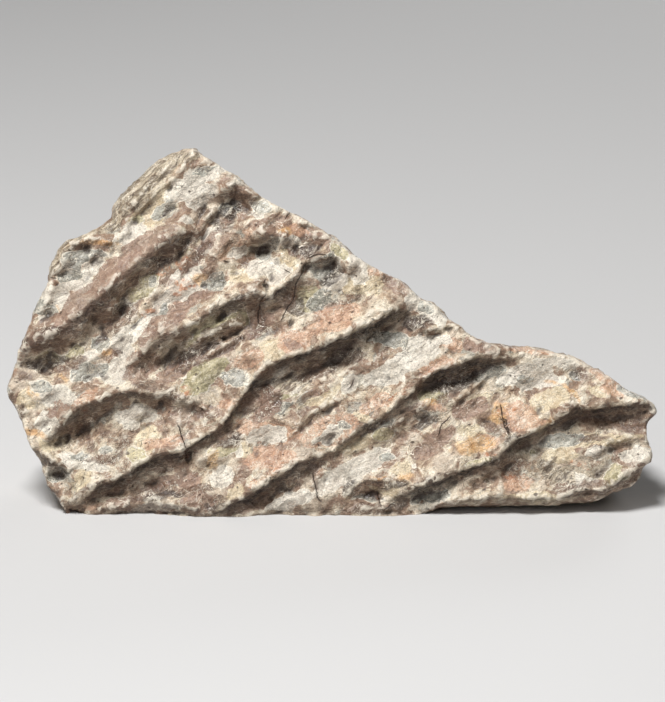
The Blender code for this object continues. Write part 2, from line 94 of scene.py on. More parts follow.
# The crests of the ornament. Each has the width of its broad upper flank, how sharp its brow is and
# the points of its crest from end to end: u, v, height over the groove floor, width of the steep flank below.
CRESTS = {
    "rim_low": (1.9, 0.4, [
        (-36.8, 23.6, 0.3, 0.7), (-35.2, 26.9, 0.5, 0.8), (-34.8, 29.4, 0.8, 1.0),
    ]),
    "rim_mid": (1.3, 0.6, [
        (-34.2, 30.9, 0.5, 0.8), (-32.9, 33.1, 0.6, 0.9), (-31.4, 34.8, 0.7, 0.9), (-29.5, 35.0, 0.9, 0.9),
        (-27.8, 34.5, 0.7, 0.8), (-26.5, 34.9, 0.6, 0.8),
    ]),
    "rim_high": (0.9, 0.8, [
        (-26.5, 34.9, 0.9, 1.0), (-25.4, 36.9, 0.6, 0.9), (-23.0, 39.5, 0.5, 0.8), (-20.9, 41.6, 0.5, 0.8),
        (-18.9, 43.4, 0.5, 0.8), (-17.2, 45.1, 0.2, 0.6),
    ]),
    "outer_layer": (1.0, 0.9, [
        (-26.2, 36.4, 0.5, 0.5), (-24.6, 38.9, 0.8, 0.6), (-22.8, 41.4, 0.9, 0.6), (-20.9, 43.6, 0.8, 0.6),
        (-19.5, 44.9, 0.4, 0.5),
    ]),
    "first": (2.8, 0.1, [
        (-40.0, 20.6, 0.5, 1.2), (-37.5, 21.4, 1.2, 1.5), (-34.6, 23.1, 2.3, 2.3), (-31.5, 25.6, 2.3, 2.3),
        (-28.4, 28.2, 2.4, 2.7), (-25.5, 30.9, 1.8, 1.4), (-23.0, 33.4, 2.3, 2.2), (-20.8, 34.8, 2.4, 2.4),
        (-18.5, 36.2, 1.8, 1.8), (-16.9, 38.2, 0.2, 1.0), (-15.6, 39.6, 0.1, 0.8), (-14.5, 40.5, 0.2, 0.7),
        (-13.2, 40.8, 1.7, 1.5), (-11.4, 41.0, 1.8, 1.6), (-9.5, 40.4, 0.9, 1.0),
    ]),
    "pocket_wall": (0.9, 0.6, [
        (-17.4, 34.1, 0.2, 0.5), (-16.6, 35.6, 0.9, 0.7), (-15.6, 37.1, 1.0, 0.8), (-14.5, 38.1, 0.6, 0.6),
    ]),
    "streaked_ledge": (0.9, 0.8, [
        (-13.8, 33.6, 0.3, 0.5), (-12.0, 35.4, 0.7, 0.6), (-10.2, 37.1, 0.8, 0.6), (-8.8, 38.4, 0.4, 0.5),
    ]),
    "upper_small": (2.2, 0.3, [
        (-13.0, 31.6, 0.1, 0.8), (-11.4, 33.4, 0.1, 0.8), (-10.2, 34.8, 1.0, 1.2), (-8.6, 35.5, 2.1, 2.0),
        (-6.6, 35.4, 1.6, 1.4), (-4.6, 34.7, 0.6, 0.9), (-3.0, 33.9, 0.2, 0.8),
    ]),
    "groove_ledge": (0.8, 0.3, [
        (-30.2, 19.6, 0.2, 0.4), (-28.5, 20.9, 0.4, 0.6), (-27.0, 22.4, 0.5, 0.6), (-25.2, 24.4, 0.5, 0.6),
        (-23.2, 26.6, 0.5, 0.6), (-21.8, 28.4, 0.4, 0.6), (-20.8, 29.6, 0.2, 0.4),
    ]),
    "second": (3.3, 0.3, [
        (-28.0, 16.7, 0.3, 0.8), (-26.2, 18.5, 0.6, 0.9), (-23.9, 20.5, 1.1, 1.0), (-21.3, 22.4, 1.9, 1.6),
        (-18.6, 24.1, 1.9, 1.3), (-15.9, 25.4, 1.9, 1.2), (-13.6, 26.8, 2.1, 1.7), (-11.3, 28.0, 2.4, 2.1),
        (-9.4, 28.5, 2.3, 2.2), (-8.0, 27.8, 1.6, 1.8),
    ]),
    "cross": (1.8, 0.7, [
        (-8.9, 27.0, 1.0, 1.4), (-7.2, 28.2, 1.6, 1.8), (-5.8, 29.6, 1.8, 2.0), (-4.4, 31.1, 1.7, 1.9),
        (-3.2, 32.3, 1.3, 1.4), (-1.8, 32.7, 1.1, 1.2), (-0.1, 32.6, 1.1, 1.2), (1.4, 31.9, 0.5, 1.0),
        (2.6, 31.0, 0.2, 0.6),
    ]),
    "lip": (1.2, 0.9, [
        (-21.5, 17.4, 0.2, 0.4), (-19.2, 18.4, 0.3, 0.5), (-16.8, 19.8, 0.4, 0.5), (-14.2, 21.0, 0.7, 0.6),
        (-11.8, 22.4, 0.8, 0.6), (-9.8, 23.8, 0.6, 0.5), (-8.5, 24.9, 0.2, 0.4),
    ]),
    "left_low": (3.0, 0.5, [
        (-36.0, 9.1, 0.2, 0.8), (-34.5, 10.8, 0.8, 1.2), (-33.0, 12.5, 1.7, 1.9), (-31.0, 14.1, 2.0, 2.1),
        (-29.2, 15.0, 2.0, 2.0), (-27.4, 15.8, 1.8, 1.8), (-24.8, 16.0, 1.5, 1.5), (-21.8, 15.8, 1.4, 1.4),
        (-18.8, 15.4, 1.2, 1.2), (-16.2, 14.4, 1.1, 1.2), (-14.5, 12.6, 0.7, 1.0),
    ]),
    "third": (3.8, 0.9, [
        (9.2, 26.6, 0.1, 0.8), (7.2, 25.9, 1.3, 1.6), (4.6, 24.2, 2.6, 2.6), (1.7, 23.2, 2.5, 2.8),
        (-1.2, 22.1, 2.4, 2.8), (-3.6, 21.0, 2.2, 2.1), (-6.1, 20.1, 2.2, 1.9), (-8.0, 19.4, 2.2, 2.3),
        (-10.0, 17.2, 2.0, 2.2), (-11.5, 15.1, 1.8, 1.5), (-13.0, 12.9, 1.7, 1.3), (-14.8, 11.2, 1.7, 1.8),
        (-16.8, 10.0, 1.8, 1.8), (-18.6, 8.8, 2.0, 1.7), (-21.5, 8.2, 2.1, 1.8), (-23.5, 7.1, 2.1, 1.8),
        (-25.9, 5.8, 2.0, 1.8), (-28.4, 4.6, 1.9, 1.6), (-30.1, 3.5, 1.5, 1.2), (-31.8, 2.1, 0.8, 0.8),
    ]),
    "lobe": (1.6, 0.6, [
        (9.8, 23.4, 0.1, 0.5), (12.0, 23.6, 1.0, 0.9), (14.2, 24.0, 0.9, 0.8), (15.8, 23.6, 0.4, 0.6),
    ]),
    "fourth": (4.2, 0.9, [
        (-14.8, 0.8, 0.8, 1.0), (-12.5, 2.1, 1.9, 1.6), (-10.5, 3.2, 2.3, 2.0), (-8.4, 4.6, 2.4, 2.1),
        (-6.5, 5.9, 2.1, 1.7), (-4.4, 7.2, 1.5, 1.1), (-1.8, 7.8, 1.0, 0.8), (0.6, 8.6, 0.9, 0.7),
        (2.0, 10.1, 1.0, 0.8), (3.8, 11.5, 1.1, 0.8), (5.8, 12.6, 1.1, 0.8), (7.8, 13.9, 1.2, 0.9),
        (9.1, 15.2, 1.6, 1.2), (10.5, 16.8, 2.1, 1.7), (12.0, 18.2, 2.4, 2.3), (13.8, 19.0, 2.4, 2.6),
        (15.8, 19.6, 2.3, 2.8), (17.8, 20.4, 2.2, 2.8), (20.0, 20.3, 1.6, 2.0), (22.3, 20.2, 0.8, 1.2),
        (24.0, 20.8, 0.1, 0.6),
    ]),
    "fifth": (4.4, 0.9, [
        (7.0, 2.6, 0.6, 0.8), (9.8, 3.8, 1.5, 1.3), (12.5, 4.9, 1.9, 1.6), (14.8, 5.9, 1.9, 1.5),
        (16.4, 6.5, 1.9, 1.3), (18.5, 7.1, 1.7, 1.1), (20.5, 7.8, 2.1, 1.4), (21.5, 9.1, 2.6, 2.1),
        (23.2, 10.6, 2.6, 1.9), (25.0, 11.1, 2.3, 1.5), (26.6, 11.7, 1.1, 0.7), (28.1, 12.9, 2.1, 1.4),
        (30.0, 13.9, 2.3, 1.7), (32.5, 14.1, 2.3, 1.7), (35.2, 14.5, 2.1, 1.6), (38.0, 14.8, 1.8, 1.4),
        (40.0, 14.2, 1.0, 0.9),
    ]),
    "sixth": (2.4, 0.6, [
        (11.0, 1.4, 0.4, 0.7), (14.8, 2.4, 1.0, 0.9), (19.8, 2.9, 1.2, 1.0), (24.8, 2.8, 1.2, 1.0),
        (28.1, 2.9, 1.1, 0.9), (30.4, 3.8, 1.0, 0.8), (33.8, 3.9, 1.0, 0.9), (35.5, 5.0, 1.1, 1.0),
        (37.0, 6.1, 1.2, 1.0), (38.8, 6.9, 1.2, 1.0), (39.8, 7.9, 0.9, 0.8),
    ]),
    "far_fold": (1.6, 0.3, [
        (30.2, 7.6, 0.2, 0.8), (32.4, 8.4, 0.5, 1.0), (34.6, 9.6, 0.6, 1.0), (36.9, 10.2, 0.6, 1.0),
        (39.2, 10.6, 0.5, 0.9),
    ]),
    "foot_left": (1.8, 0.5, [
        (-31.0, 0.4, 0.1, 0.6), (-27.8, 1.5, 0.4, 0.8), (-24.0, 2.0, 0.6, 0.8), (-20.2, 2.1, 0.8, 0.9),
        (-16.8, 1.6, 1.1, 1.0), (-14.8, 0.6, 0.6, 0.8),
    ]),
    "foot_small": (1.8, 0.5, [
        (-13.8, -0.4, 0.6, 0.8), (-10.9, 0.4, 0.9, 0.9), (-8.8, 1.1, 0.8, 0.9), (-5.9, 2.4, 0.5, 0.9),
        (-3.4, 3.4, 0.4, 0.9), (-1.8, 4.9, 0.2, 0.7),
    ]),
    "step": (1.2, 0.9, [
        (-6.0, 9.8, 0.2, 0.4), (-4.6, 11.2, 0.8, 0.5), (-2.9, 12.9, 0.9, 0.5), (-0.5, 14.4, 0.7, 0.5),
        (1.8, 15.4, 0.4, 0.4),
    ]),
    "thin_edge": (1.2, 0.8, [
        (13.2, 13.1, 0.2, 0.4), (15.5, 14.9, 0.6, 0.5), (17.5, 16.4, 0.7, 0.5), (19.8, 18.1, 0.5, 0.5),
    ]),
    "corner": (2.0, 0.7, [
        (-37.4, 9.1, 0.9, 0.9), (-35.2, 7.9, 1.2, 1.1), (-33.0, 6.5, 1.3, 1.3), (-32.0, 5.1, 1.0, 1.2),
        (-31.6, 3.4, 0.5, 0.8),
    ]),
    "chip_rim": (0.5, 1.0, [
        (2.0, 3.4, 0.2, 0.4), (3.2, 4.6, 0.8, 0.5), (4.5, 5.1, 0.9, 0.6), (6.5, 5.0, 0.6, 0.5),
        (8.4, 4.6, 0.7, 0.5),
    ]),
    "chip_side": (0.5, 1.0, [
        (6.5, 1.4, 0.3, 0.4), (7.8, 2.6, 0.7, 0.5), (8.8, 4.0, 0.6, 0.5),
    ]),
    "clear_window": (0.6, 0.8, [
        (1.0, 19.1, 0.1, 0.4), (2.5, 20.9, 0.5, 0.5), (3.8, 22.4, 0.6, 0.5), (5.0, 22.9, 0.3, 0.4),
    ]),
}

# Hollows, and swellings where the depth is negative: u, v, half length, half width, turn in degrees, depth.
HOLLOWS = [
    (38.0, 8.0, 1.8, 1.2, 20, -0.8), (35.2, 8.6, 1.6, 0.6, 25, 0.3), (34.8, 5.4, 1.6, 1.0, 30, -0.5),
    (30.6, 6.8, 1.3, 0.5, -20, -0.4), (-31.0, 31.4, 3.2, 1.6, 42, 0.3), (-32.5, 28.6, 1.8, 1.4, 45, 0.2),
    (-23.0, 38.6, 4.2, 1.5, 45, 0.5), (-30.8, 33.7, 0.9, 0.6, 0, 0.4), (-12.9, 36.9, 1.4, 0.9, 50, 0.6),
    (-27.0, 25.2, 1.8, 0.6, 38, 0.5), (-14.6, 23.6, 3.6, 1.1, 28, -0.9), (-24.2, 29.4, 1.3, 0.8, 40, -0.8),
    (-14.1, 37.9, 1.5, 0.7, 60, 0.8), (-2.2, 34.0, 1.8, 0.8, -20, 0.6), (-13.4, 22.2, 5.0, 0.5, 30, 0.9),
    (-0.8, 18.9, 3.0, 0.9, 20, 0.4), (-29.9, 9.4, 0.5, 1.6, 0, 0.25), (-26.2, 9.4, 0.5, 1.6, 0, 0.25),
    (-12.1, 40.4, 1.8, 1.0, 26, 1.1), (-15.8, 35.9, 1.5, 0.6, 62, 0.7), (-8.9, 33.5, 2.2, 1.2, 20, 1.5),
    (-0.1, 31.6, 1.9, 1.0, 20, 1.1), (-6.2, 32.6, 0.6, 1.9, -8, -0.5), (7.6, 23.6, 3.0, 1.6, 25, 1.0),
    (1.6, 20.9, 3.2, 1.0, 26, 0.7), (-19.6, 20.6, 2.5, 1.2, 40, 0.6), (-20.9, 19.6, 2.8, 1.5, 45, 0.7),
    (-35.9, 19.0, 2.2, 1.1, 12, 1.2), (-30.8, 18.2, 2.4, 1.2, -8, 0.8), (-28.5, 22.8, 1.1, 1.1, 40, 0.5),
    (-31.8, 21.4, 1.1, 0.9, 20, 0.3), (-33.8, 17.6, 0.4, 1.2, -10, -0.5), (-25.9, 25.9, 1.2, 0.9, 40, 0.7),
    (-22.8, 29.2, 1.5, 1.0, 30, 0.4), (-14.8, 29.5, 1.5, 0.9, 15, 0.5), (-31.9, 11.0, 2.8, 1.2, 28, 1.2),
    (-22.8, 11.6, 1.9, 1.6, 20, 0.5), (-28.4, 8.9, 1.4, 1.4, 0, -0.35), (-18.9, 12.9, 1.6, 1.4, 60, -0.45),
    (-34.0, 5.6, 1.9, 1.0, 28, 1.1), (-17.6, 31.8, 2.0, 0.7, 50, 0.3), (-11.8, 22.4, 1.2, 0.9, 20, 0.35),
    (-15.0, 11.8, 1.0, 0.5, 40, 0.4), (-13.8, 7.1, 2.2, 1.9, 70, 0.6), (-22.8, 4.6, 6.2, 1.2, 10, 0.6),
    (-27.8, 2.9, 3.8, 1.0, 5, 0.4), (-2.0, 18.5, 3.6, 1.0, 24, 0.5), (-5.2, 16.8, 2.0, 1.2, 40, 0.4),
    (13.0, 21.9, 2.0, 0.9, 20, 0.3), (4.0, 20.9, 0.8, 1.1, 20, -0.35), (-0.2, 15.5, 5.0, 1.0, 28, 0.3),
    (5.0, 8.4, 7.5, 1.5, 33, 0.7), (11.6, 12.6, 1.5, 0.8, 10, 0.5), (19.1, 18.4, 4.2, 1.2, 28, 0.6),
    (5.4, 3.1, 2.5, 1.0, 0, 1.0), (-4.6, 2.4, 2.2, 0.9, 10, -0.4), (29.8, 18.0, 1.5, 0.9, -60, 0.5),
    (19.6, 12.2, 1.6, 0.6, -22, 0.8), (23.5, 9.2, 2.2, 1.1, 10, 0.9), (32.2, 12.6, 5.8, 0.9, 2, 0.5),
    (21.0, 6.1, 1.8, 1.5, 80, 0.2), (15.4, 3.9, 5.0, 1.0, 8, 0.6), (5.2, 3.0, 1.8, 0.8, 0, 0.3),
    (14.6, 17.4, 3.6, 1.2, 25, 0.7), (12.2, 2.9, 2.0, 0.9, 10, 0.5), (22.5, 13.9, 1.5, 1.0, 60, -0.3),
    (28.5, 9.9, 2.5, 1.0, 5, 0.4), (33.2, 5.1, 2.0, 0.8, 20, 0.35), (17.0, 10.5, 3.8, 1.5, 20, -0.3),
    (-0.2, 11.1, 4.0, 1.9, 25, -0.25), (2.2, 27.2, 4.0, 1.4, 20, 0.15), (-4.0, 23.6, 3.8, 1.5, 20, 0.3),
    (-10.2, 20.9, 1.5, 0.9, 20, -0.3), (-26.5, 14.6, 2.0, 0.8, -5, -0.2),
    (-36.5, 12.4, 1.2, 1.0, 30, -0.3), (-19.6, 6.1, 2.0, 1.0, 10, -0.3),
]

# Round pits: u, v, radius and depth. The last one stands up inside the one before it.
PITS = [
    (-29.8, 31.8, 0.24, 0.6), (-32.4, 29.4, 0.26, 0.3), (-20.0, 41.0, 0.36, 0.6), (-20.2, 42.2, 0.2, 0.3),
    (-23.9, 12.6, 0.28, 0.5), (-22.8, 12.5, 0.22, 0.4), (-22.9, 10.6, 0.24, 0.3), (-13.9, 6.0, 0.34, 0.4),
    (-8.1, 29.0, 0.40, 1.4), (-7.8, 28.3, 0.30, 1.0), (-17.9, 7.7, 0.34, 1.2), (-3.3, 31.3, 0.5, 0.8),
    (-30.2, 33.9, 0.55, 0.7), (14.4, 23.5, 0.55, 0.5), (14.4, 23.5, 0.24, -0.4),
]

# Open cracks, as the points they run through: u, v.
CRACKS = [
    [(-9.2, 24.1), (-9.1, 25.6), (-8.8, 27.1), (-8.1, 28.1)],
    [(-8.4, 29.1), (-8.1, 30.1)],
    [(-6.4, 24.5), (-5.6, 26.0), (-4.6, 27.8), (-4.4, 29.2), (-3.7, 30.6), (-3.4, 31.8)],
    [(-3.0, 32.4), (-1.8, 33.0), (-0.4, 32.8)],
    [(-5.2, 38.4), (-5.8, 37.2)],
    [(-18.1, 9.1), (-18.0, 7.1)],
    [(-35.2, 30.2), (-34.0, 29.9)],
    [(20.9, 14.6), (21.0, 12.9), (21.5, 11.4), (22.1, 9.8)],
    [(20.6, 12.6), (21.5, 12.5), (22.0, 10.4)],
    [(13.1, 10.2), (13.6, 11.9), (14.8, 13.1)],
    [(-2.5, 6.1), (-2.0, 4.6), (-1.9, 3.1), (-1.2, 2.1)],
    [(5.5, 3.9), (6.2, 1.4)],
    [(6.1, 1.1), (8.0, 2.4)],
    [(-13.6, 32.2), (-12.5, 32.0)],
    [(-6.0, 31.2), (-5.1, 30.6)],
    [(1.9, 15.9), (3.0, 17.8)],
    [(-19.2, 12.1), (-18.5, 10.4), (-17.9, 8.6)],
]

# Where each mineral and each kind of surface shows: u, v, half length, half width, turn in degrees.
STAINS = {
    "mauve": [
        (-16.2, 33.2, 3.2, 0.9, 50), (-9.0, 24.2, 2.6, 1.2, 35), (-1.5, 34.8, 1.6, 0.8, -30),
        (-17.6, 32.4, 1.8, 1.0, 50), (-8.0, 13.6, 2.0, 1.2, 35), (-20.4, 4.9, 2.6, 0.8, 15),
        (37.2, 6.6, 1.4, 0.7, 20), (-22.6, 34.2, 3.8, 1.4, 28), (-27.1, 30.5, 3.2, 1.7, 45),
        (-30.9, 27.1, 3.4, 1.6, 42), (-34.0, 24.2, 3.2, 1.6, 30), (-36.5, 22.4, 2.5, 1.4, 20),
        (-7.5, 36.8, 2.5, 1.1, 15), (-20.8, 24.4, 4.0, 1.3, 38), (-15.0, 13.4, 1.6, 0.8, -10),
        (-16.2, 33.2, 1.8, 0.9, 45), (-16.5, 27.4, 2.2, 0.7, 30), (-18.6, 19.0, 3.6, 1.0, 30),
        (-7.8, 15.6, 1.6, 1.2, 30), (-23.8, 19.2, 2.5, 1.8, 45), (-33.8, 13.6, 1.8, 0.9, 30),
        (-18.6, 12.8, 2.2, 1.1, 10), (-16.5, 2.1, 2.2, 1.5, 0), (18.2, 21.4, 2.2, 1.0, -25),
        (17.2, 13.9, 2.2, 1.2, 20), (12.4, 9.4, 3.0, 1.2, 35), (7.9, 29.2, 1.8, 1.0, -30),
        (-26.5, 1.8, 1.8, 0.8, 0), (-10.9, 1.4, 2.2, 0.6, 15), (-17.8, 5.1, 1.2, 1.8, 80),
        (-11.1, 6.0, 0.8, 0.8, 0), (-4.6, 21.8, 1.2, 0.6, 0),
    ],
    # Partly brown stain and partly painted shade, laid under crests and in hollows.
    "brown": [
        (-16.6, 20.0, 2.6, 0.8, 30), (-25.2, 25.2, 3.2, 0.5, 50), (-16.6, 32.6, 3.0, 0.6, 50),
        (-2.6, 34.6, 1.8, 0.8, -20), (10.2, 24.0, 1.8, 0.9, 10), (12.6, 5.2, 2.2, 0.6, 20),
        (37.6, 11.4, 1.6, 0.6, 0), (-21.6, 16.6, 2.2, 0.6, 0), (-21.6, 4.2, 2.4, 0.7, 12),
        (-14.2, 2.8, 1.2, 0.6, 0), (9.8, 13.6, 1.6, 0.7, 30), (-23.0, 16.8, 2.0, 0.6, 0),
        (-9.0, 26.2, 0.9, 1.6, 0), (-12.4, 9.9, 1.4, 0.9, 40), (14.6, 15.4, 2.0, 0.6, 25),
        (-38.2, 17.8, 1.4, 0.6, 0), (32.6, 10.2, 2.0, 0.5, 6), (-18.4, 34.9, 2.8, 0.8, 25),
        (-25.9, 29.0, 3.2, 1.0, 38), (-29.6, 25.9, 3.2, 1.0, 35), (-34.6, 22.6, 4.2, 1.1, 12),
        (-16.1, 38.0, 0.5, 1.1, 80), (-12.0, 40.6, 2.0, 0.6, 15), (-14.2, 22.9, 4.0, 1.1, 30),
        (-30.9, 12.4, 3.8, 1.0, 25), (-9.6, 15.1, 2.5, 1.0, 45), (-13.1, 12.2, 0.6, 0.6, 0),
        (-4.0, 6.1, 3.2, 1.0, 25), (-8.8, 24.6, 1.2, 0.6, 20), (-20.8, 7.0, 2.4, 0.6, 15),
        (-27.8, 4.0, 4.2, 1.0, 15), (21.9, 7.1, 1.1, 2.5, 85), (33.5, 13.0, 5.2, 1.0, 5),
        (-3.6, 13.4, 1.0, 0.5, 20), (19.4, 11.8, 1.8, 0.6, -30), (-26.8, 20.8, 0.9, 0.6, 30),
        (1.0, 21.1, 2.0, 1.0, 20), (21.6, 21.8, 1.8, 0.2, -5), (-10.9, 38.6, 0.6, 1.0, 60),
        (-30.0, 9.6, 0.5, 1.5, 5), (-28.2, 7.5, 1.7, 0.6, 0), (-26.1, 9.4, 0.6, 1.7, -5),
        (-28.0, 10.9, 1.0, 0.4, 0), (-20.6, 32.4, 3.6, 0.8, 40), (15.2, 17.6, 3.4, 1.1, 20),
        (-3.2, 32.9, 2.0, 0.8, -15), (-12.2, 21.8, 5.2, 0.5, 31), (-21.8, 15.6, 3.6, 0.6, -6),
        (-13.2, 10.8, 1.2, 0.8, 60), (-1.0, 18.9, 3.2, 0.9, 20), (-20.0, 3.4, 6.0, 0.6, 8),
        (35.0, 3.9, 3.0, 0.6, 20), (5.0, 1.4, 4.0, 0.6, 0), (-13.2, 36.8, 1.4, 0.9, 50),
        (-26.8, 24.8, 3.4, 0.6, 48), (-17.2, 19.8, 3.4, 0.7, 32), (-16.8, 33.0, 2.0, 0.6, 50),
        (-20.4, 29.6, 0.7, 0.5, 20), (2.2, 19.8, 1.6, 0.6, 30), (31.0, 18.2, 1.2, 0.7, -50),
        (-34.0, 18.8, 2.4, 0.5, 10), (-13.4, 9.6, 1.9, 0.8, 15), (-7.6, 14.6, 2.0, 1.1, 45),
        (-39.0, 13.4, 0.8, 1.4, -30), (29.6, 3.9, 2.8, 0.7, 10), (-31.8, 19.6, 1.5, 0.7, 20),
        (-5.2, 4.2, 2.6, 0.6, 22), (35.5, 12.2, 4.0, 0.7, 3), (32.2, 4.2, 2.6, 0.6, 12),
        (-10.6, 32.3, 1.2, 0.6, 0),
    ],
    "salmon": [
        (-11.8, 33.9, 2.5, 0.9, 35), (-10.2, 36.1, 1.2, 0.6, 30), (1.0, 25.9, 2.8, 0.8, 5),
        (-4.6, 36.0, 2.2, 0.9, -15), (-25.4, 19.6, 2.0, 1.2, 45), (22.3, 12.8, 2.8, 1.4, -35),
        (5.4, 30.9, 1.2, 0.6, -25), (-0.9, 24.0, 3.8, 1.0, 20), (-30.5, 15.1, 2.0, 0.6, 30),
        (-20.9, 9.6, 2.5, 0.8, 10), (-4.6, 22.1, 2.2, 1.5, 10), (-7.8, 11.1, 4.2, 1.1, -10),
        (-7.8, 7.8, 3.8, 1.4, 5), (-0.2, 11.1, 3.8, 1.8, 25), (14.8, 21.8, 1.5, 1.1, 0),
        (12.2, 19.1, 2.5, 0.8, 10), (5.4, 14.6, 2.0, 1.0, 20), (22.9, 4.6, 1.8, 0.9, 0),
        (23.8, 13.4, 1.8, 1.1, -30), (25.4, 11.9, 2.2, 0.5, 20), (35.0, 16.4, 1.4, 1.1, -20),
        (24.1, 21.1, 3.2, 0.4, -3), (-17.1, 30.5, 0.8, 0.6, 40), (-18.8, 27.4, 1.0, 0.5, 30),
        (-10.2, 19.9, 2.2, 1.2, 30), (-8.4, 18.4, 1.0, 0.8, 0), (13.1, 14.2, 0.9, 0.6, 0),
        (-30.2, 1.4, 1.2, 0.5, 0), (-1.8, 6.6, 0.6, 0.6, 0), (19.1, 9.9, 1.8, 0.8, 0),
        (32.9, 18.4, 1.2, 0.6, -30), (-13.0, 14.5, 1.0, 0.8, 0),
    ],
    "cream": [
        (-0.6, 10.4, 1.6, 0.8, 30), (26.0, 11.0, 1.2, 0.6, 20), (18.0, 14.8, 1.6, 0.8, 20),
        (5.4, 4.0, 1.0, 0.5, 0), (-22.8, 41.1, 1.8, 0.8, 45), (-21.5, 39.2, 3.5, 1.8, 45),
        (-34.6, 9.9, 1.8, 1.2, 30), (-16.6, 22.9, 1.4, 0.8, 30), (-8.4, 10.4, 1.6, 0.8, 0),
        (-23.7, 38.6, 4.4, 0.35, 55), (-38.0, 15.1, 1.5, 1.2, -30), (-22.8, 9.9, 1.8, 1.8, 0),
        (-1.5, 15.1, 3.0, 0.6, 25), (3.8, 13.1, 1.0, 1.0, 0), (4.1, 29.2, 2.8, 1.5, 0),
        (26.6, 14.9, 3.0, 1.1, 20), (24.8, 3.0, 3.5, 0.6, 0), (17.2, 11.1, 1.5, 0.8, -10),
        (8.5, 6.4, 1.2, 0.9, 0), (-7.4, 21.1, 1.4, 1.5, 60), (-12.1, 3.4, 1.8, 0.9, 20),
        (-10.9, 8.6, 0.8, 1.1, 60), (32.2, 9.9, 5.0, 0.9, 6), (36.2, 10.2, 2.8, 0.4, 5),
        (-30.9, 5.1, 1.5, 1.1, 40), (4.1, 9.9, 3.8, 0.9, 20), (28.5, 8.0, 2.2, 0.9, 0),
        (-5.2, 32.1, 1.2, 1.5, 60), (-10.9, 30.4, 1.8, 1.0, 0), (7.5, 3.6, 0.8, 1.1, 70),
        (33.5, 16.1, 1.8, 0.8, -10),
    ],
    "white": [
        (-0.4, 10.4, 1.8, 0.9, 30), (-5.2, 34.4, 1.0, 1.2, 70), (-15.6, 40.7, 1.6, 0.9, 20),
        (-15.6, 17.2, 1.4, 0.9, 35), (-6.0, 18.2, 1.4, 0.8, 30), (2.2, 16.8, 1.4, 0.8, 60),
        (-24.8, 11.8, 1.2, 0.8, 0), (-17.6, 28.6, 1.8, 0.9, 35), (-7.8, 10.6, 2.4, 1.1, 10),
        (2.9, 30.6, 1.2, 1.0, -30), (24.4, 17.0, 1.8, 0.9, 10), (33.2, 8.4, 2.2, 0.7, 8),
        (-35.6, 25.6, 0.9, 1.4, 20), (-38.2, 21.9, 1.2, 1.0, 20), (-35.6, 15.6, 1.2, 0.9, 0),
        (-16.4, 22.6, 1.4, 0.7, 30), (-15.9, 42.9, 3.0, 1.1, 20), (-17.8, 41.1, 2.8, 1.5, 10),
        (-17.1, 39.6, 1.1, 1.4, 70), (-24.6, 35.9, 1.8, 1.1, 50), (-17.9, 37.1, 0.5, 1.0, 90),
        (-29.6, 31.4, 1.2, 1.0, 30), (-31.5, 29.2, 2.2, 1.1, 10), (-34.0, 27.8, 1.4, 1.9, 80),
        (-26.8, 34.9, 0.6, 0.4, 60), (-25.2, 23.0, 3.0, 1.0, 35), (-22.8, 25.1, 1.5, 0.8, 30),
        (-9.5, 37.9, 0.9, 0.5, -10), (-14.9, 35.5, 1.2, 0.9, 30), (-8.8, 31.4, 2.2, 1.1, 20),
        (-6.5, 30.4, 1.8, 0.9, 40), (0.6, 29.6, 1.9, 1.0, 20), (2.9, 32.1, 1.2, 0.8, -30),
        (-26.8, 18.6, 1.8, 1.5, 60), (-25.9, 21.1, 0.9, 1.5, 70), (-30.2, 20.4, 1.5, 0.5, 20),
        (-34.0, 15.4, 2.5, 1.4, 0), (-35.2, 11.8, 1.6, 1.6, 45), (-24.2, 13.1, 2.5, 1.1, 10),
        (-30.9, 7.2, 3.2, 0.9, -15), (-22.8, 1.5, 3.5, 0.6, 5), (-13.4, 5.4, 1.5, 1.2, 30),
        (-5.2, 2.4, 3.2, 1.0, 15), (-18.2, 30.2, 2.4, 1.2, 35), (-20.6, 27.4, 2.4, 0.9, 38),
        (-16.3, 40.0, 1.2, 0.8, 45), (2.2, 6.0, 5.2, 1.4, 28), (12.2, 25.6, 2.5, 1.0, -35),
        (11.6, 21.9, 3.2, 1.0, 10), (8.5, 19.1, 5.0, 1.6, 25), (24.1, 17.9, 3.2, 1.4, 10),
        (26.9, 17.4, 1.8, 1.0, 10), (-11.6, 33.4, 1.2, 0.8, 30), (10.0, 27.2, 1.4, 0.8, -35),
        (39.8, 13.9, 0.9, 0.9, -40), (37.5, 8.0, 2.0, 1.0, 15), (10.1, 6.5, 0.5, 0.4, 0),
        (-11.5, 8.6, 0.5, 0.6, 0), (27.9, 19.6, 2.8, 0.6, -8), (30.4, 4.9, 2.5, 0.8, -10),
    ],
    "olive": [
        (-24.0, 37.4, 0.5, 0.4, 0), (-23.0, 29.0, 2.4, 1.2, 40), (-31.9, 20.9, 1.1, 1.0, 0),
        (-11.2, 24.9, 1.1, 1.0, 0), (-15.9, 23.5, 1.8, 0.8, 20), (-14.6, 25.1, 1.8, 0.5, 30),
        (-15.9, 18.0, 3.6, 1.6, 35), (-14.6, 23.6, 3.4, 0.9, 28), (-13.4, 8.9, 1.9, 1.1, 20),
        (-2.8, 27.4, 1.4, 1.8, 60), (-17.8, 32.9, 0.8, 1.1, 70), (0.8, 33.2, 1.4, 0.8, -35),
        (12.5, 15.6, 1.8, 1.1, 0), (6.4, 10.8, 1.5, 0.9, 10), (35.0, 5.6, 1.8, 1.1, 30),
        (25.1, 8.4, 0.4, 0.5, 0), (-6.5, 15.4, 2.0, 0.4, 15), (-5.5, 4.2, 1.0, 0.5, 30),
        (-23.8, 7.9, 1.1, 1.4, 60), (18.5, 7.4, 1.8, 0.4, 10), (-35.2, 20.2, 1.5, 0.6, 0),
    ],
    "ochre": [
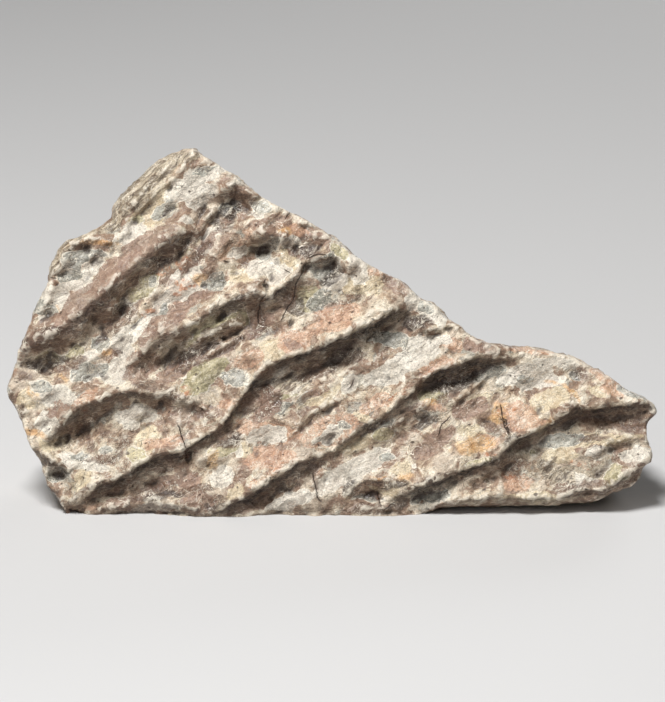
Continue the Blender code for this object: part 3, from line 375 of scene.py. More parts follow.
        (-29.0, 34.6, 2.5, 0.3, -5), (-34.5, 25.9, 1.0, 0.8, 60), (-6.0, 36.1, 0.5, 1.1, 85),
        (-16.5, 29.9, 1.0, 0.9, 0), (-33.4, 17.8, 0.4, 0.9, 80), (-37.5, 11.1, 0.5, 2.2, 75),
        (-14.5, 7.2, 0.6, 0.8, 0), (27.4, 17.0, 0.7, 0.35, -10), (29.5, 15.8, 1.6, 0.3, -45),
        (20.6, 13.0, 1.8, 1.2, 60), (17.6, 9.4, 2.5, 0.9, 10), (6.6, 5.1, 2.2, 0.3, -5),
        (27.0, 12.4, 1.2, 0.4, 50), (-28.2, 20.8, 0.9, 0.4, 0), (-37.1, 15.9, 1.0, 0.5, -40),
        (12.2, 14.6, 0.8, 0.5, 0), (-32.8, 34.2, 1.5, 0.4, 45), (9.1, 5.5, 1.0, 0.5, 0),
    ],
    "rust": [
        (-20.9, 31.1, 1.0, 0.8, 30), (-18.5, 31.8, 1.1, 0.6, -20), (-19.2, 28.9, 1.0, 1.2, 60),
        (-22.5, 25.9, 1.2, 0.6, 30), (-27.5, 24.5, 1.0, 0.6, -10), (-13.2, 37.0, 0.5, 0.4, 0),
        (-18.5, 16.0, 1.1, 0.6, 20), (8.5, 15.5, 1.9, 0.8, 42), (-8.4, 5.5, 2.5, 0.4, 30),
        (30.4, 6.9, 1.2, 0.4, -20), (-30.9, 13.4, 0.6, 0.8, 0), (19.8, 8.4, 1.5, 0.4, 5),
        (21.9, 5.5, 0.6, 1.5, 85), (26.0, 20.9, 1.2, 0.2, 0), (21.6, 13.6, 0.5, 1.2, -70),
        (-17.8, 29.2, 0.8, 1.0, 70),
    ],
    "fibre": [
        (-24.0, 40.8, 5.0, 1.6, 48), (-20.2, 44.1, 3.2, 1.1, 38), (-27.5, 36.4, 2.0, 0.6, 25),
        (-32.5, 34.4, 2.2, 0.9, 42), (-34.5, 31.4, 1.5, 0.8, 75), (-5.2, 17.1, 2.8, 1.1, 15),
        (27.9, 5.9, 2.5, 1.1, -25), (-17.8, 44.9, 1.5, 0.8, 20),
    ],
    "grey": [
        (-20.9, 38.6, 1.8, 0.8, 40), (-15.9, 43.4, 1.5, 0.6, 20), (-30.9, 32.6, 2.8, 1.0, 10),
        (-32.5, 30.8, 1.6, 1.1, 30), (-35.9, 26.4, 0.9, 2.2, 75), (-22.0, 32.1, 1.2, 0.6, 40),
        (-25.9, 26.1, 1.5, 1.1, 35), (-21.1, 25.9, 1.1, 0.6, 35), (-14.6, 29.5, 1.6, 1.0, 18),
        (-21.9, 29.5, 0.6, 0.5, 0), (-13.0, 38.6, 2.0, 0.8, 20), (-9.0, 38.9, 1.1, 0.6, -20),
        (-8.0, 33.6, 1.8, 0.8, 40), (-0.9, 31.4, 2.0, 1.4, 40), (11.5, 26.4, 1.0, 0.8, 0),
        (-28.8, 22.1, 1.0, 0.9, 40), (-30.2, 18.4, 2.5, 1.2, 10), (-35.9, 16.6, 1.5, 0.8, -10),
        (-40.2, 16.1, 0.4, 0.9, 80), (-28.1, 8.6, 0.9, 0.5, 20), (-31.5, 8.0, 1.2, 0.4, 0),
        (-33.8, 5.8, 1.8, 0.9, 10), (-12.0, 17.6, 1.6, 1.0, 0), (-7.1, 13.9, 2.2, 0.9, 15),
        (4.1, 2.6, 1.5, 0.6, 0), (7.2, 22.4, 2.5, 1.0, 0), (6.6, 7.6, 1.0, 0.5, 0),
        (4.4, 23.3, 1.8, 1.1, 20), (23.9, 17.4, 0.9, 0.5, 5), (30.2, 17.8, 0.6, 0.9, 60),
        (11.2, 13.0, 1.2, 0.6, 0), (6.6, 12.2, 1.5, 0.6, 20), (28.5, 9.9, 2.8, 0.9, 10),
        (12.2, 3.0, 2.5, 0.9, 10), (-1.4, 27.2, 1.5, 1.1, 60), (37.2, 15.8, 2.0, 0.5, -25),
        (17.2, 18.1, 4.2, 1.0, 12), (1.6, 11.8, 0.8, 0.6, 0),
    ],
    # Partly dark mineral and partly painted shadow, laid along the steep flanks and in deep hollows.
    "dark": [
        (-21.5, 2.8, 2.4, 0.5, 8), (-12.8, 9.8, 1.4, 0.6, 30), (0.6, 31.2, 1.2, 0.6, -30),
        (-18.2, 20.2, 2.2, 0.5, 35), (11.4, 11.9, 1.8, 0.6, 25), (2.4, 4.0, 1.2, 0.7, 30),
        (8.0, 4.4, 1.4, 0.6, 10), (-35.9, 19.6, 3.0, 0.8, 10), (-30.5, 34.0, 1.0, 0.5, 0),
        (-13.4, 38.0, 1.8, 0.6, 10), (-5.2, 27.1, 1.2, 2.2, 60), (-11.5, 27.0, 3.0, 0.9, 30),
        (-2.1, 19.5, 3.0, 0.6, 15), (7.9, 25.4, 2.0, 0.8, 10), (12.2, 17.2, 1.5, 0.6, 20),
        (5.4, 12.0, 2.2, 0.5, 25), (4.0, 3.0, 1.6, 0.6, -5), (23.2, 9.6, 1.8, 0.9, 20),
        (-35.2, 7.0, 1.1, 0.5, -10), (-0.2, 30.0, 1.6, 0.8, 20), (15.4, 16.8, 2.8, 0.7, 15),
        (-14.1, 37.9, 1.4, 0.5, 60), (-20.0, 32.8, 1.8, 0.6, 30), (-30.0, 25.4, 2.4, 0.6, 38),
        (-12.8, 1.8, 3.0, 0.5, 10), (8.5, 2.2, 1.2, 0.6, 30), (-20.2, 33.6, 3.5, 0.5, 28),
        (-24.6, 15.6, 1.8, 0.4, 0), (1.0, 28.5, 0.4, 0.2, 0), (16.0, 5.6, 1.6, 0.5, 12),
        (1.2, 20.9, 1.5, 0.6, 20), (28.5, 11.8, 3.0, 0.5, 20), (38.5, 13.5, 1.2, 0.4, -20),
        (-3.0, 33.2, 1.6, 0.7, -10), (7.0, 4.6, 1.6, 0.7, 0), (-30.8, 33.8, 0.9, 0.5, 0),
        (10.0, 24.2, 1.6, 1.0, 20), (11.0, 4.4, 1.6, 0.5, 20),
    ],
    "polish": [
        (5.2, 8.4, 7.6, 1.3, 33), (16.6, 19.8, 4.4, 1.8, 20), (-27.5, 29.0, 7.0, 1.2, 44),
        (32.0, 12.4, 5.6, 0.9, 4), (-20.5, 23.6, 5.5, 1.0, 38), (-15.5, 16.0, 1.8, 1.4, 20),
        (-2.4, 27.0, 1.6, 2.4, 60), (14.0, 9.5, 3.0, 2.0, 20), (32.4, 10.6, 6.4, 1.2, 6),
        (-20.8, 41.0, 4.4, 1.6, 45), (27.0, 17.6, 4.0, 1.6, -8), (2.0, 26.6, 5.0, 1.2, 20),
        (-22.0, 34.2, 4.5, 1.3, 28), (-6.0, 21.6, 4.0, 1.0, 25), (-4.5, 1.6, 5.0, 1.0, 10),
        (-17.0, 40.4, 2.6, 1.4, 38), (-8.0, 10.8, 2.4, 1.4, 10), (-16.0, 22.8, 2.6, 1.0, 30),
        (9.4, 26.6, 1.8, 1.2, -35),
    ],
    "swirl": [
        (-0.2, 10.9, 4.2, 2.0, 25), (26.6, 19.2, 3.8, 1.0, -5), (5.4, 17.6, 4.2, 1.2, 20),
        (-15.9, 42.4, 2.8, 1.5, 25), (-23.0, 29.2, 2.2, 1.5, 40), (-34.0, 15.1, 3.0, 1.8, 0),
        (-26.8, 8.0, 3.0, 3.0, 0), (1.6, 27.4, 3.0, 1.5, 0), (23.5, 6.1, 3.0, 1.5, -20),
        (33.5, 6.8, 3.2, 1.5, 20), (9.8, 21.1, 3.8, 1.5, 10),
    ],
}

STAIN_REACH = 2.0  # how far past its edge a stain is still told from bare bone
CREST_BLEND = 0.3  # how softly two crests that meet run into one
TROUGH_SHARE = 0.12  # depth of the trough under a crest, as a share of the crest's height
BOWL_SIZE = 3.0  # width of the shallow bowls between the crests
BOWL_DEPTH = 0.9


# ---------------------------------------------------------------- shape of the bone, in millimetres


def speckle(points, size, seed, octaves=3):
    """Fractal noise from -1 to 1 at each point, with features about this size."""
    shift = Vector((seed * 11.3, seed * 7.1, seed * 3.7))
    return np.array([noise.fractal(Vector(p) / size + shift, 0.85, 2.0, octaves) for p in points])


def nearest_on(path, u, v):
    """Distance from a path of (u, v), positive on its left as it is walked, and the place along it."""
    path = np.array(path)
    best = np.full(len(u), np.inf)
    side = np.ones(len(u))
    place = np.zeros(len(u))
    for i, (start, end) in enumerate(zip(path[:-1], path[1:])):
        run = end - start
        share = ((u - start[0]) * run[0] + (v - start[1]) * run[1]) / (run @ run)
        share = np.clip(share, 0.0, 1.0)
        off_u = u - start[0] - share * run[0]
        off_v = v - start[1] - share * run[1]
        distance = np.hypot(off_u, off_v)
        closer = distance < best
        best = np.where(closer, distance, best)
        side = np.where(closer, np.sign(run[0] * off_v - run[1] * off_u), side)
        place = np.where(closer, i + share, place)
    return best * side, place


def eased(share):
    """0 below 0 and 1 above 1, with a smooth run between."""
    share = np.clip(share, 0.0, 1.0)
    return share * share * (3.0 - 2.0 * share)


def flat(u, v):
    """Points in the plane of the face, for noise that doesn't change with depth."""
    return np.column_stack([u, v, 0.0 * u])


def turned(u, v, degrees):
    """How far each point lies along a direction and across it."""
    cosine, sine = math.cos(math.radians(degrees)), math.sin(math.radians(degrees))
    return u * cosine + v * sine, v * cosine - u * sine


def wandered(u, v, reach, size, small_size, seed):
    """The place moved a little by wide and small noise, so that nothing laid out runs quite true."""
    wide, small = reach
    moved_u = u + wide * speckle(flat(u, v), size, seed) + small * speckle(flat(u, v), small_size, seed + 1)
    moved_v = v + wide * speckle(flat(u, v), size, seed + 2)
    moved_v = moved_v + small * speckle(flat(u, v), small_size, seed + 3)
    return moved_u, moved_v


def shape_place(u, v):
    """Where the crests, hollows and bowls are looked up for a point of the face."""
    return wandered(u, v, (0.30, 0.20), 3.0, 1.1, 5)


def stain_place(u, v):
    """Where the stains are looked up for a point of the face."""
    return wandered(u, v, (0.5, 0.2), 2.6, 0.8, 41)


def along_crests(u, v):
    """Yields each crest as its upper flank's width, how sharp its brow is, and at every point the
    distance from its line, positive above it, its height and its lower flank's width."""
    for above, brow, points in CRESTS.values():
        if points[0][0] > points[-1][0]:
            points = points[::-1]
        distance, place = nearest_on([p[:2] for p in points], u, v)
        height = np.interp(place, range(len(points)), [p[2] for p in points])
        below = np.interp(place, range(len(points)), [p[3] for p in points])
        yield above, brow, distance, height, below


def crest_height(u, v):
    """Height of the crests over the groove floor: a broad flank above each, a steep one below, and a
    trough worn under the steep one."""
    swelling = 1.0 + 0.35 * speckle(flat(u, v), 3.4, 11, 2)
    spread = 1.0 + 0.45 * speckle(flat(u, v), 2.4, 12, 2)
    total, trough = np.zeros(len(u)), np.zeros(len(u))
    for above, brow, distance, height, below in along_crests(u, v):
        height, below = swelling * height, spread * below
        reach = 1.0 - np.abs(distance) / np.where(distance > 0.0, above, below)
        reach = np.clip(reach, 0.0, 1.0)
        domed = np.where(distance > 0.0, eased(reach), 1.0 - (1.0 - reach) ** 1.8)
        sharp = np.where(distance > 0.0, reach, reach**2.1)
        profile = brow * sharp + (1.0 - brow) * domed
        total += np.expm1(height * profile / CREST_BLEND)
        trough = np.maximum(trough, height * np.exp(-((distance + 1.1 * below) / (0.55 * below)) ** 2))
    return CREST_BLEND * np.log1p(total) - TROUGH_SHARE * trough


def brow_marks(u, v):
    """Two shares: the strip just under a crest's brow, where the material lays painted shadow, and the edge
    along the brow itself, where it lays a pale line that is partly wear and partly painted highlight.
    """
    shade, edge = np.zeros(len(u)), np.zeros(len(u))
    for _, brow, distance, height, below in along_crests(u, v):
        fall = np.clip(-distance / below, 0.0, 1.0)
        strength = np.minimum(height / 1.8, 1.0)
        strip = eased(fall / 0.25) * (1.0 - fall) ** 1.2 * 1.6
        shade = np.maximum(shade, strength * (0.3 + 0.7 * brow) * strip)
        # the pale brow edge: partly wear, partly painted highlight
        edge = np.maximum(edge, strength * brow * np.clip(1.0 - np.abs(distance - 0.1) / 0.35, 0.0, 1.0))
    return np.minimum(shade, 1.0), edge


def bowls(u, v, size, seed):
    """Shallow bowls drawn out along the grooves: 0 in the middle of each, 1 on the rims between them."""
    along, across = turned(u, v, GRAIN_TURN)
    places = np.column_stack([along / 1.7, across, np.full(len(u), 7.3 * seed)]) / size
    return np.clip([noise.voronoi(Vector(p))[0][0] / 0.75 for p in places], 0.0, 1.0)


def oval_reach(u, v, oval):
    """0 at the middle of a turned oval, 1 on its edge."""
    centre_u, centre_v, length, width, turn = oval
    along, across = turned(u - centre_u, v - centre_v, turn)
    return np.hypot(along / length, across / width)


def stain_reach(u, v, ovals):
    """How far inside its stain each point lies, in millimetres, negative outside."""
    reach = np.full(len(u), -STAIN_REACH)
    for oval in ovals:
        size = math.sqrt(oval[2] * oval[3])
        reach = np.maximum(reach, np.minimum(1.0 - oval_reach(u, v, oval), 1.0) * size)
    return reach


def hollow_depth(u, v):
    depth = np.zeros(len(u))
    for *oval, deepest in HOLLOWS:
        depth += deepest * np.exp(-1.1 * oval_reach(u, v, oval) ** 2)
    for pit_u, pit_v, radius, deepest in PITS:
        depth += deepest * eased((1.3 - np.hypot(u - pit_u, v - pit_v) / radius) / 0.6)
    return depth


def edge_roll(u, v):
    """How far the face rolls back as it nears its edge."""
    ring = EDGE + EDGE[:1]
    distance, place = nearest_on([p[:2] for p in ring], u, v)
    width = np.interp(place, range(len(ring)), [p[2] for p in ring])
    inward = np.clip(1.0 - np.abs(distance) / width, 0.0, 1.0)
    return width * (1.0 - np.sqrt(1.0 - inward**2))


def fibres(u, v):
    """The layers that show as ribs where the outer rim is broken."""
    along, across = turned(u, v, FIBRE_TURN)
    bare = eased(0.5 + stain_reach(u, v, STAINS["fibre"]) / 1.2)
    return bare * speckle(flat(along / 7.0, across), 0.9, 27, 3)


def face_level(u, v):
    """Height of the ornamented face: the forms laid out one by one, and noise drawn out along the grain."""
    moved_u, moved_v = shape_place(u, v)
    along, across = turned(u, v, GRAIN_TURN)
    flow = flat(along / 1.7, across)
    lumps = speckle(flow, 1.8, 21, 4)
    layers = 2.4 * speckle(flow, 4.0, 22, 4)
    ledges = np.floor(layers) + eased((layers - np.floor(layers)) / 0.18) - layers
    creases = np.clip(1.0 - np.abs(speckle(flow, 2.6, 23)) / 0.08, 0.0, 1.0)
    swells = speckle(flow, 4.5, 25, 2)
    scalloped = np.clip(0.6 + speckle(flow, 5.0, 24), 0.15, 1.0)
    scalloped = scalloped * bowls(moved_u, moved_v, BOWL_SIZE, 1) ** 2
    calm = 0.40 + 0.60 * eased(0.5 + speckle(flow, 6.0, 26, 2))
    calm *= 1.0 - 0.85 * eased(0.5 + stain_reach(u, v, STAINS["polish"]))
    level = crest_height(moved_u, moved_v) - hollow_depth(moved_u, moved_v) - edge_roll(u, v)
    level += 0.60 * swells + BOWL_DEPTH * (scalloped - 0.4) * np.sqrt(calm)
    level += calm * (0.33 * lumps + 0.42 * ledges - 0.25 * creases)
    return level + 0.35 * fibres(u, v) - FACE_SETBACK


def back_level(u, v):
    """Height of the back, which is a gentle wave on a plane that comes nearer up and along the piece."""
    depth = DEPTH_AT_BASE - DEPTH_LOST_PER_HEIGHT * v - DEPTH_LOST_PER_LENGTH * np.maximum(u, 0.0)
    return 0.9 * speckle(flat(u, v), 9.0, 2) - depth


def positions_of(mesh):
    numbers = np.empty(len(mesh.vertices) * 3)
    mesh.vertices.foreach_get("co", numbers)
    return numbers.reshape(-1, 3)


def normals_of(mesh):
    numbers = np.empty(len(mesh.vertices) * 3)
    mesh.vertices.foreach_get("normal", numbers)
    return numbers.reshape(-1, 3)


def set_positions(mesh, points):
    mesh.vertices.foreach_set("co", points.ravel())
    mesh.update()


def only(piece):
    """Makes this the one selected, active object."""
    bpy.ops.object.select_all(action="DESELECT")
    piece.select_set(True)
    bpy.context.view_layer.objects.active = piece


def remeshed(piece, voxel):
    remesh = piece.modifiers.new("even_mesh", "REMESH")
    remesh.mode = "VOXEL"
    remesh.voxel_size = voxel
    bpy.ops.object.modifier_apply(modifier=remesh.name)


def flat_slab():
    """The outline of the face as a flat slab, which draw_out turns into the chunk."""
    curve = bpy.data.curves.new("scute", "CURVE")
    curve.dimensions = "2D"
    curve.fill_mode = "BOTH"
    curve.extrude = SLAB_THICKNESS / 2
    spline = curve.splines.new("POLY")
    spline.points.add(len(EDGE) - 1)
    for point, (u, v, _) in zip(spline.points, EDGE):
        sunk = 2.0 if v < 1.0 and u < 10.0 else 0.0  # the foot is cut flat later, so it starts lower
        point.co = (u, v - sunk, 0.0, 1.0)
    spline.use_cyclic_u = True
    piece = bpy.data.objects.new("scute_bone", curve)
    bpy.context.scene.collection.objects.link(piece)
    only(piece)
    bpy.ops.object.convert(target="MESH")
    return piece


def draw_out(mesh):
    """Moves the slab's front to the ridged face and its back to the rough back of the chunk."""
    points = positions_of(mesh)
    share = np.clip(points[:, 2] / SLAB_THICKNESS + 0.5, 0.0, 1.0)
    u, v = points[:, 0], points[:, 1]
    front, back = face_level(u, v), back_level(u, v)
    inset = 1.0 - BACK_INSET * (1.0 - share)
    side_bumps = speckle(np.column_stack([u, v, 1.5 * SLAB_THICKNESS * share]), 6.0, 3)
    inset += 0.02 * np.sin(math.pi * share) * side_bumps
    points[:, 0] = FACE_CENTRE[0] + (u - FACE_CENTRE[0]) * inset
    points[:, 1] = FACE_CENTRE[1] + (v - FACE_CENTRE[1]) * inset
    points[:, 2] = back + (front - back) * share
    set_positions(mesh, points)


def depth_share(points):
    """0 on the back of the chunk, 1 on its ornamented face."""
    u, v, w = points.T
    front, back = face_level(u, v), back_level(u, v)
    return np.clip((w - back) / (front - back), 0.0, 1.0)


def thin_hidden_faces(piece):
    """Spends fewer triangles on the sides and the back than on the ornamented face."""
    share = depth_share(positions_of(piece.data))
    bpy.ops.object.mode_set(mode="EDIT")
    bpy.ops.mesh.select_mode(type="VERT")
    bpy.ops.mesh.select_all(action="DESELECT")
    bpy.ops.object.mode_set(mode="OBJECT")
    piece.data.vertices.foreach_set("select", share < FACE_STARTS)
    bpy.ops.object.mode_set(mode="EDIT")
    bpy.ops.mesh.decimate(ratio=HIDDEN_SHARE)
    bpy.ops.object.mode_set(mode="OBJECT")


def roughen(mesh):
    """Fine relief along the normals: grain on the face, broken bone on the sides, growth on the back."""
    points, normals = positions_of(mesh), normals_of(mesh)
    u, v, w = points.T
    share = depth_share(points)
    face = eased((share - 0.85) / 0.1)
    back = eased((0.12 - share) / 0.08)
    sides = np.clip(1.0 - face - back, 0.0, 1.0)
    along, across = turned(u, v, GRAIN_TURN)
    streaks = speckle(np.column_stack([along / 4.0, across, w]), 0.55, 33)
    crumbs = speckle(points, 0.5, 34)
    layers = speckle(np.column_stack([u / 5.0, v / 5.0, w]), 0.9, 35)
    chunks = speckle(points, 2.6, 36, 4)
    growth = speckle(np.column_stack([along / 6.0, across / 1.4, w]), 1.0, 37)
    from_centre = np.hypot(u - FACE_CENTRE[0], 1.4 * (v - FACE_CENTRE[1]))
    rings = np.sin(from_centre / 0.8 + 2.5 * speckle(points, 7.0, 38))
    growth += 0.8 * rings * speckle(points, 6.0, 39)
    height = face * (0.06 * streaks + 0.02 * crumbs)
    height += sides * (0.16 * layers + 0.42 * chunks + 0.12 * crumbs)
    height += back * (0.30 * growth + 0.45 * chunks + 0.08 * crumbs)
    set_positions(mesh, points + normals * height[:, None])


def cut_base(mesh):
    """Turns the face upright with its lean and cuts the base flat on the ground."""
    mesh.transform(Matrix.Rotation(math.pi / 2 - LEAN, 4, "X"))
    shape = bmesh.new()
    shape.from_mesh(mesh)
    everything = shape.verts[:] + shape.edges[:] + shape.faces[:]
    cut = bmesh.ops.bisect_plane(
        shape, geom=everything, dist=1e-5, plane_co=(0, 0, 0), plane_no=(0, 0, 1), clear_inner=True)
    rim = [item for item in cut["geom_cut"] if isinstance(item, bmesh.types.BMEdge)]
    base = bmesh.ops.contextual_create(shape, geom=rim)["faces"]
    bmesh.ops.triangulate(shape, faces=base)
    bmesh.ops.recalc_face_normals(shape, faces=shape.faces[:])
    shape.to_mesh(mesh)
    shape.free()


def ground_middle(mesh):
    points = positions_of(mesh)
    low, high = points.min(axis=0), points.max(axis=0)
    return Vector(((low[0] + high[0]) / 2, (low[1] + high[1]) / 2, low[2]))


# ---------------------------------------------------------------- what the surface is made of, and where painted shade and highlights lie


def keep_number(mesh, name, values):
    store = mesh.attributes.new(name, "FLOAT", "POINT")
    store.data.foreach_set("value", np.asarray(values, np.float32))


def crack_lines(u, v):
    """Signed distance from the nearest crack, and how open it is there: 0 at its ends and far off."""
    nearest = np.full(len(u), 9.0)
    open_share = np.zeros(len(u))
    for path in CRACKS:
        distance, place = nearest_on(path, u, v)
        ends = np.minimum(place, len(path) - 1 - place)
        opening = eased(ends / 0.4) * eased((0.7 - np.abs(distance)) / 0.3)
        closer = np.abs(distance) < np.abs(nearest)
        nearest = np.where(closer, distance, nearest)
        open_share = np.where(closer, opening, open_share)
    return nearest, open_share


def smoothed(mesh, values, rounds):
    """Values spread over the mesh's edges this many times."""
    ends = np.empty(len(mesh.edges) * 2, np.int64)
    mesh.edges.foreach_get("vertices", ends)
    first, second = ends[0::2], ends[1::2]
    count = np.bincount(ends, minlength=len(mesh.vertices)) + 1.0
    for _ in range(rounds):
        total = values.copy()
        for axis in range(values.shape[1]):
            total[:, axis] += np.bincount(first, values[second, axis], len(values))
            total[:, axis] += np.bincount(second, values[first, axis], len(values))
        values = total / count[:, None]
    return values


def hollowness(mesh, rounds):
    """Positive in hollows and negative on crests, in millimetres."""
    points = positions_of(mesh)
    return ((smoothed(mesh, points, rounds) - points) * normals_of(mesh)).sum(axis=1)


def note_surface(mesh):
    """Stores what the material reads, from the face's own coordinates."""
    points = positions_of(mesh)
    u, v, w = points.T
    place = mesh.attributes.new("place", "FLOAT_VECTOR", "POINT")
    place.data.foreach_set("vector", points.astype(np.float32).ravel())
    share = depth_share(points)
    keep_number(mesh, "face", eased((share - 0.82) / 0.12))
    keep_number(mesh, "back", eased((0.14 - share) / 0.08))
    # hollow is positive in small hollows, which the material darkens as painted shade, and negative on
    # crests, which it lightens as painted highlight
    keep_number(mesh, "hollow", hollowness(mesh, 12))
    # flank is how far the surface faces down; the material lays painted shade by it
    downward = smoothed(mesh, -normals_of(mesh)[:, 1:2], 6)
    keep_number(mesh, "flank", downward[:, 0])
    # sunk is how deep a point lies in a wide hollow; the material darkens it as painted shade
    keep_number(mesh, "sunk", hollowness(mesh, 80))
    keep_number(mesh, "bowl", bowls(*shape_place(u, v), BOWL_SIZE, 1))
    # painted shadow under each brow, and a pale brow edge that is partly wear and partly painted highlight
    shade, edge = brow_marks(*shape_place(u, v))
    keep_number(mesh, "painted_brow_shadow", shade)
    keep_number(mesh, "brow_wear_and_highlight", edge)
    stain_u, stain_v = stain_place(u, v)
    for name, ovals in STAINS.items():
        keep_number(mesh, name, stain_reach(stain_u, stain_v, ovals))
    distance, opening = crack_lines(u + 0.15 * speckle(flat(u, v), 1.0, 45), v)
    keep_number(mesh, "crack_side", distance)
    keep_number(mesh, "crack_open", opening)


# ---------------------------------------------------------------- material


class Value:
    """A socket's output that takes part in Python arithmetic, each step making a Math node."""

    def __init__(self, paint, socket):
        self.paint = paint
        self.socket = socket

    def math(self, operation, *others):
        return self.paint.node("ShaderNodeMath", {"operation": operation}, [self, *others])

    def __add__(self, other):
        return self.math("ADD", other)

    def __sub__(self, other):
        return self.math("SUBTRACT", other)

    def __rsub__(self, other):
        return self.paint.node("ShaderNodeMath", {"operation": "SUBTRACT"}, [other, self])

    def __mul__(self, other):
        return self.math("MULTIPLY", other)

    __radd__ = __add__
    __rmul__ = __mul__

    def above(self, level, softness):
        """0 well below the level, 1 well above it."""
        limits = [self, level - softness, level + softness, 0.0, 1.0]
        return self.paint.node("ShaderNodeMapRange", {"interpolation_type": "SMOOTHSTEP"}, limits)

    def below(self, level, softness):
        return 1.0 - self.above(level, softness)

    def near(self, level, width):
        """1 at the level, 0 further from it than this width."""
        return (self - level).math("ABSOLUTE").below(width * 0.6, width * 0.4)


class Paint:
    """One material's nodes."""

    def __init__(self, name):
        self.material = bpy.data.materials.new(name)
        self.material.use_nodes = True
        self.tree = self.material.node_tree
        self.tree.nodes.clear()

    def node(self, kind, settings, inputs=(), output=0):
        made = self.tree.nodes.new(kind)
        for name, setting in settings.items():
            setattr(made, name, setting)
        pairs = inputs.items() if isinstance(inputs, dict) else enumerate(inputs)
        for key, given in pairs:
            socket = made.inputs[key]
            if isinstance(given, Value):
                self.tree.links.new(given.socket, socket)
            else:
                socket.default_value = given
        return Value(self, made.outputs[output]) if len(made.outputs) else None

    def stored(self, name):
        return self.node("ShaderNodeAttribute", {"attribute_name": name}, {}, "Fac")

    def stored_vector(self, name):
        return self.node("ShaderNodeAttribute", {"attribute_name": name}, {}, "Vector")

    def noise(self, place, size, detail=3.0, roughness=0.55, distortion=0.0):
        """Noise from about -1 to 1, with features about this size."""
        inputs = {
            "Vector": place, "Scale": 1.0 / size, "Detail": detail, "Roughness": roughness,
            "Distortion": distortion}
        return self.node("ShaderNodeTexNoise", {"noise_dimensions": "3D"}, inputs) * 4.0 - 2.0

    def stretched(self, place, turn, stretch):
        """The place turned and drawn out, so that noise on it runs in one direction."""
        settings = {"vector_type": "POINT"}
        inputs = {"Vector": place, "Rotation": (0.0, 0.0, -math.radians(turn))}
        level = self.node("ShaderNodeMapping", settings, inputs)
        return self.node("ShaderNodeMapping", settings, {"Vector": level, "Scale": stretch})

    def lines(self, place, turn, stretch, size, detail, roughness, distortion):
        """Noise drawn out into lines that run at this angle; the smaller the stretch, the longer they are."""
        drawn_out = self.stretched(place, turn, (stretch, 1.0, 1.0))
        return self.noise(drawn_out, size, detail, roughness, distortion)

    def cells(self, place, size):
        """Distance from the middle of the cell that a point lies in: about 0 there and 1 on its edge."""
        inputs = {"Vector": place, "Scale": 1.0 / size, "Randomness": 1.0}
        return self.node("ShaderNodeTexVoronoi", {}, inputs, "Distance")

    def wobbled(self, place, size, reach):
        """The place moved this far by noise of this size, so that nothing laid on it runs straight."""
        inputs = {"Vector": place, "Scale": 1.0 / size, "Detail": 2.0}
        shift = self.node("ShaderNodeTexNoise", {}, inputs, "Color")
        settings = {"operation": "MULTIPLY_ADD"}
        return self.node("ShaderNodeVectorMath", settings, [shift, (reach, reach, reach), place])

    def blend(self, share, first, second, kind="MIX"):
        """A colour between two, or the second laid on the first in another way."""
        settings = {"data_type": "RGBA", "blend_type": kind, "clamp_factor": True}
        return self.node("ShaderNodeMix", settings, {0: share, 6: first, 7: second}, 2)

    def covered(self, colour, coats):
        """The colour with each coat's tone laid on it in turn, by the coat's share."""
        for share, tone in coats:
            colour = self.blend(share, colour, tone)
        return colour


def tint(red, green, blue):
    """A colour given as it looks on a screen, from 11 to 255, made linear for the shader."""
    return (*[((part / 255 + 0.055) / 1.055) ** 2.4 for part in (red, green, blue)], 1.0)


# The colours that each mineral or kind of surface runs between, how fully it covers the bone and how
# soft its edge is. Later ones lie over earlier ones.
MINERALS = {
    "cream": (tint(196, 176, 144), tint(226, 212, 182), 0.85, 0.08),
    "salmon": (tint(176, 134, 108), tint(216, 178, 150), 0.78, 0.14),
    "white": (tint(200, 190, 176), tint(232, 226, 214), 0.90, 0.07),
    "olive": (tint(148, 140, 106), tint(214, 203, 166), 0.88, 0.06),
    "ochre": (tint(190, 142, 92), tint(230, 192, 142), 0.80, 0.30),
    "fibre": (tint(112, 98, 82), tint(190, 176, 154), 0.85, 0.15),
    "grey": (tint(126, 125, 116), tint(192, 191, 182), 0.90, 0.05),
    "mauve": (tint(126, 101, 87), tint(164, 136, 118), 0.94, 0.07),
    "rust": (tint(156, 90, 56), tint(214, 150, 108), 0.75, 0.18),
    # brown and dark are laid partly as stains and partly as painted shade
    "brown": (tint(76, 56, 46), tint(124, 96, 78), 0.80, 0.25),
    "dark": (tint(42, 33, 30), tint(76, 62, 54), 0.80, 0.25),
}
RIMMED = ("grey", "olive", "white")  # the minerals that end in a thin pale rim
AGATE = tint(238, 229, 212)
BUMP_HEIGHT = 0.9 * MM


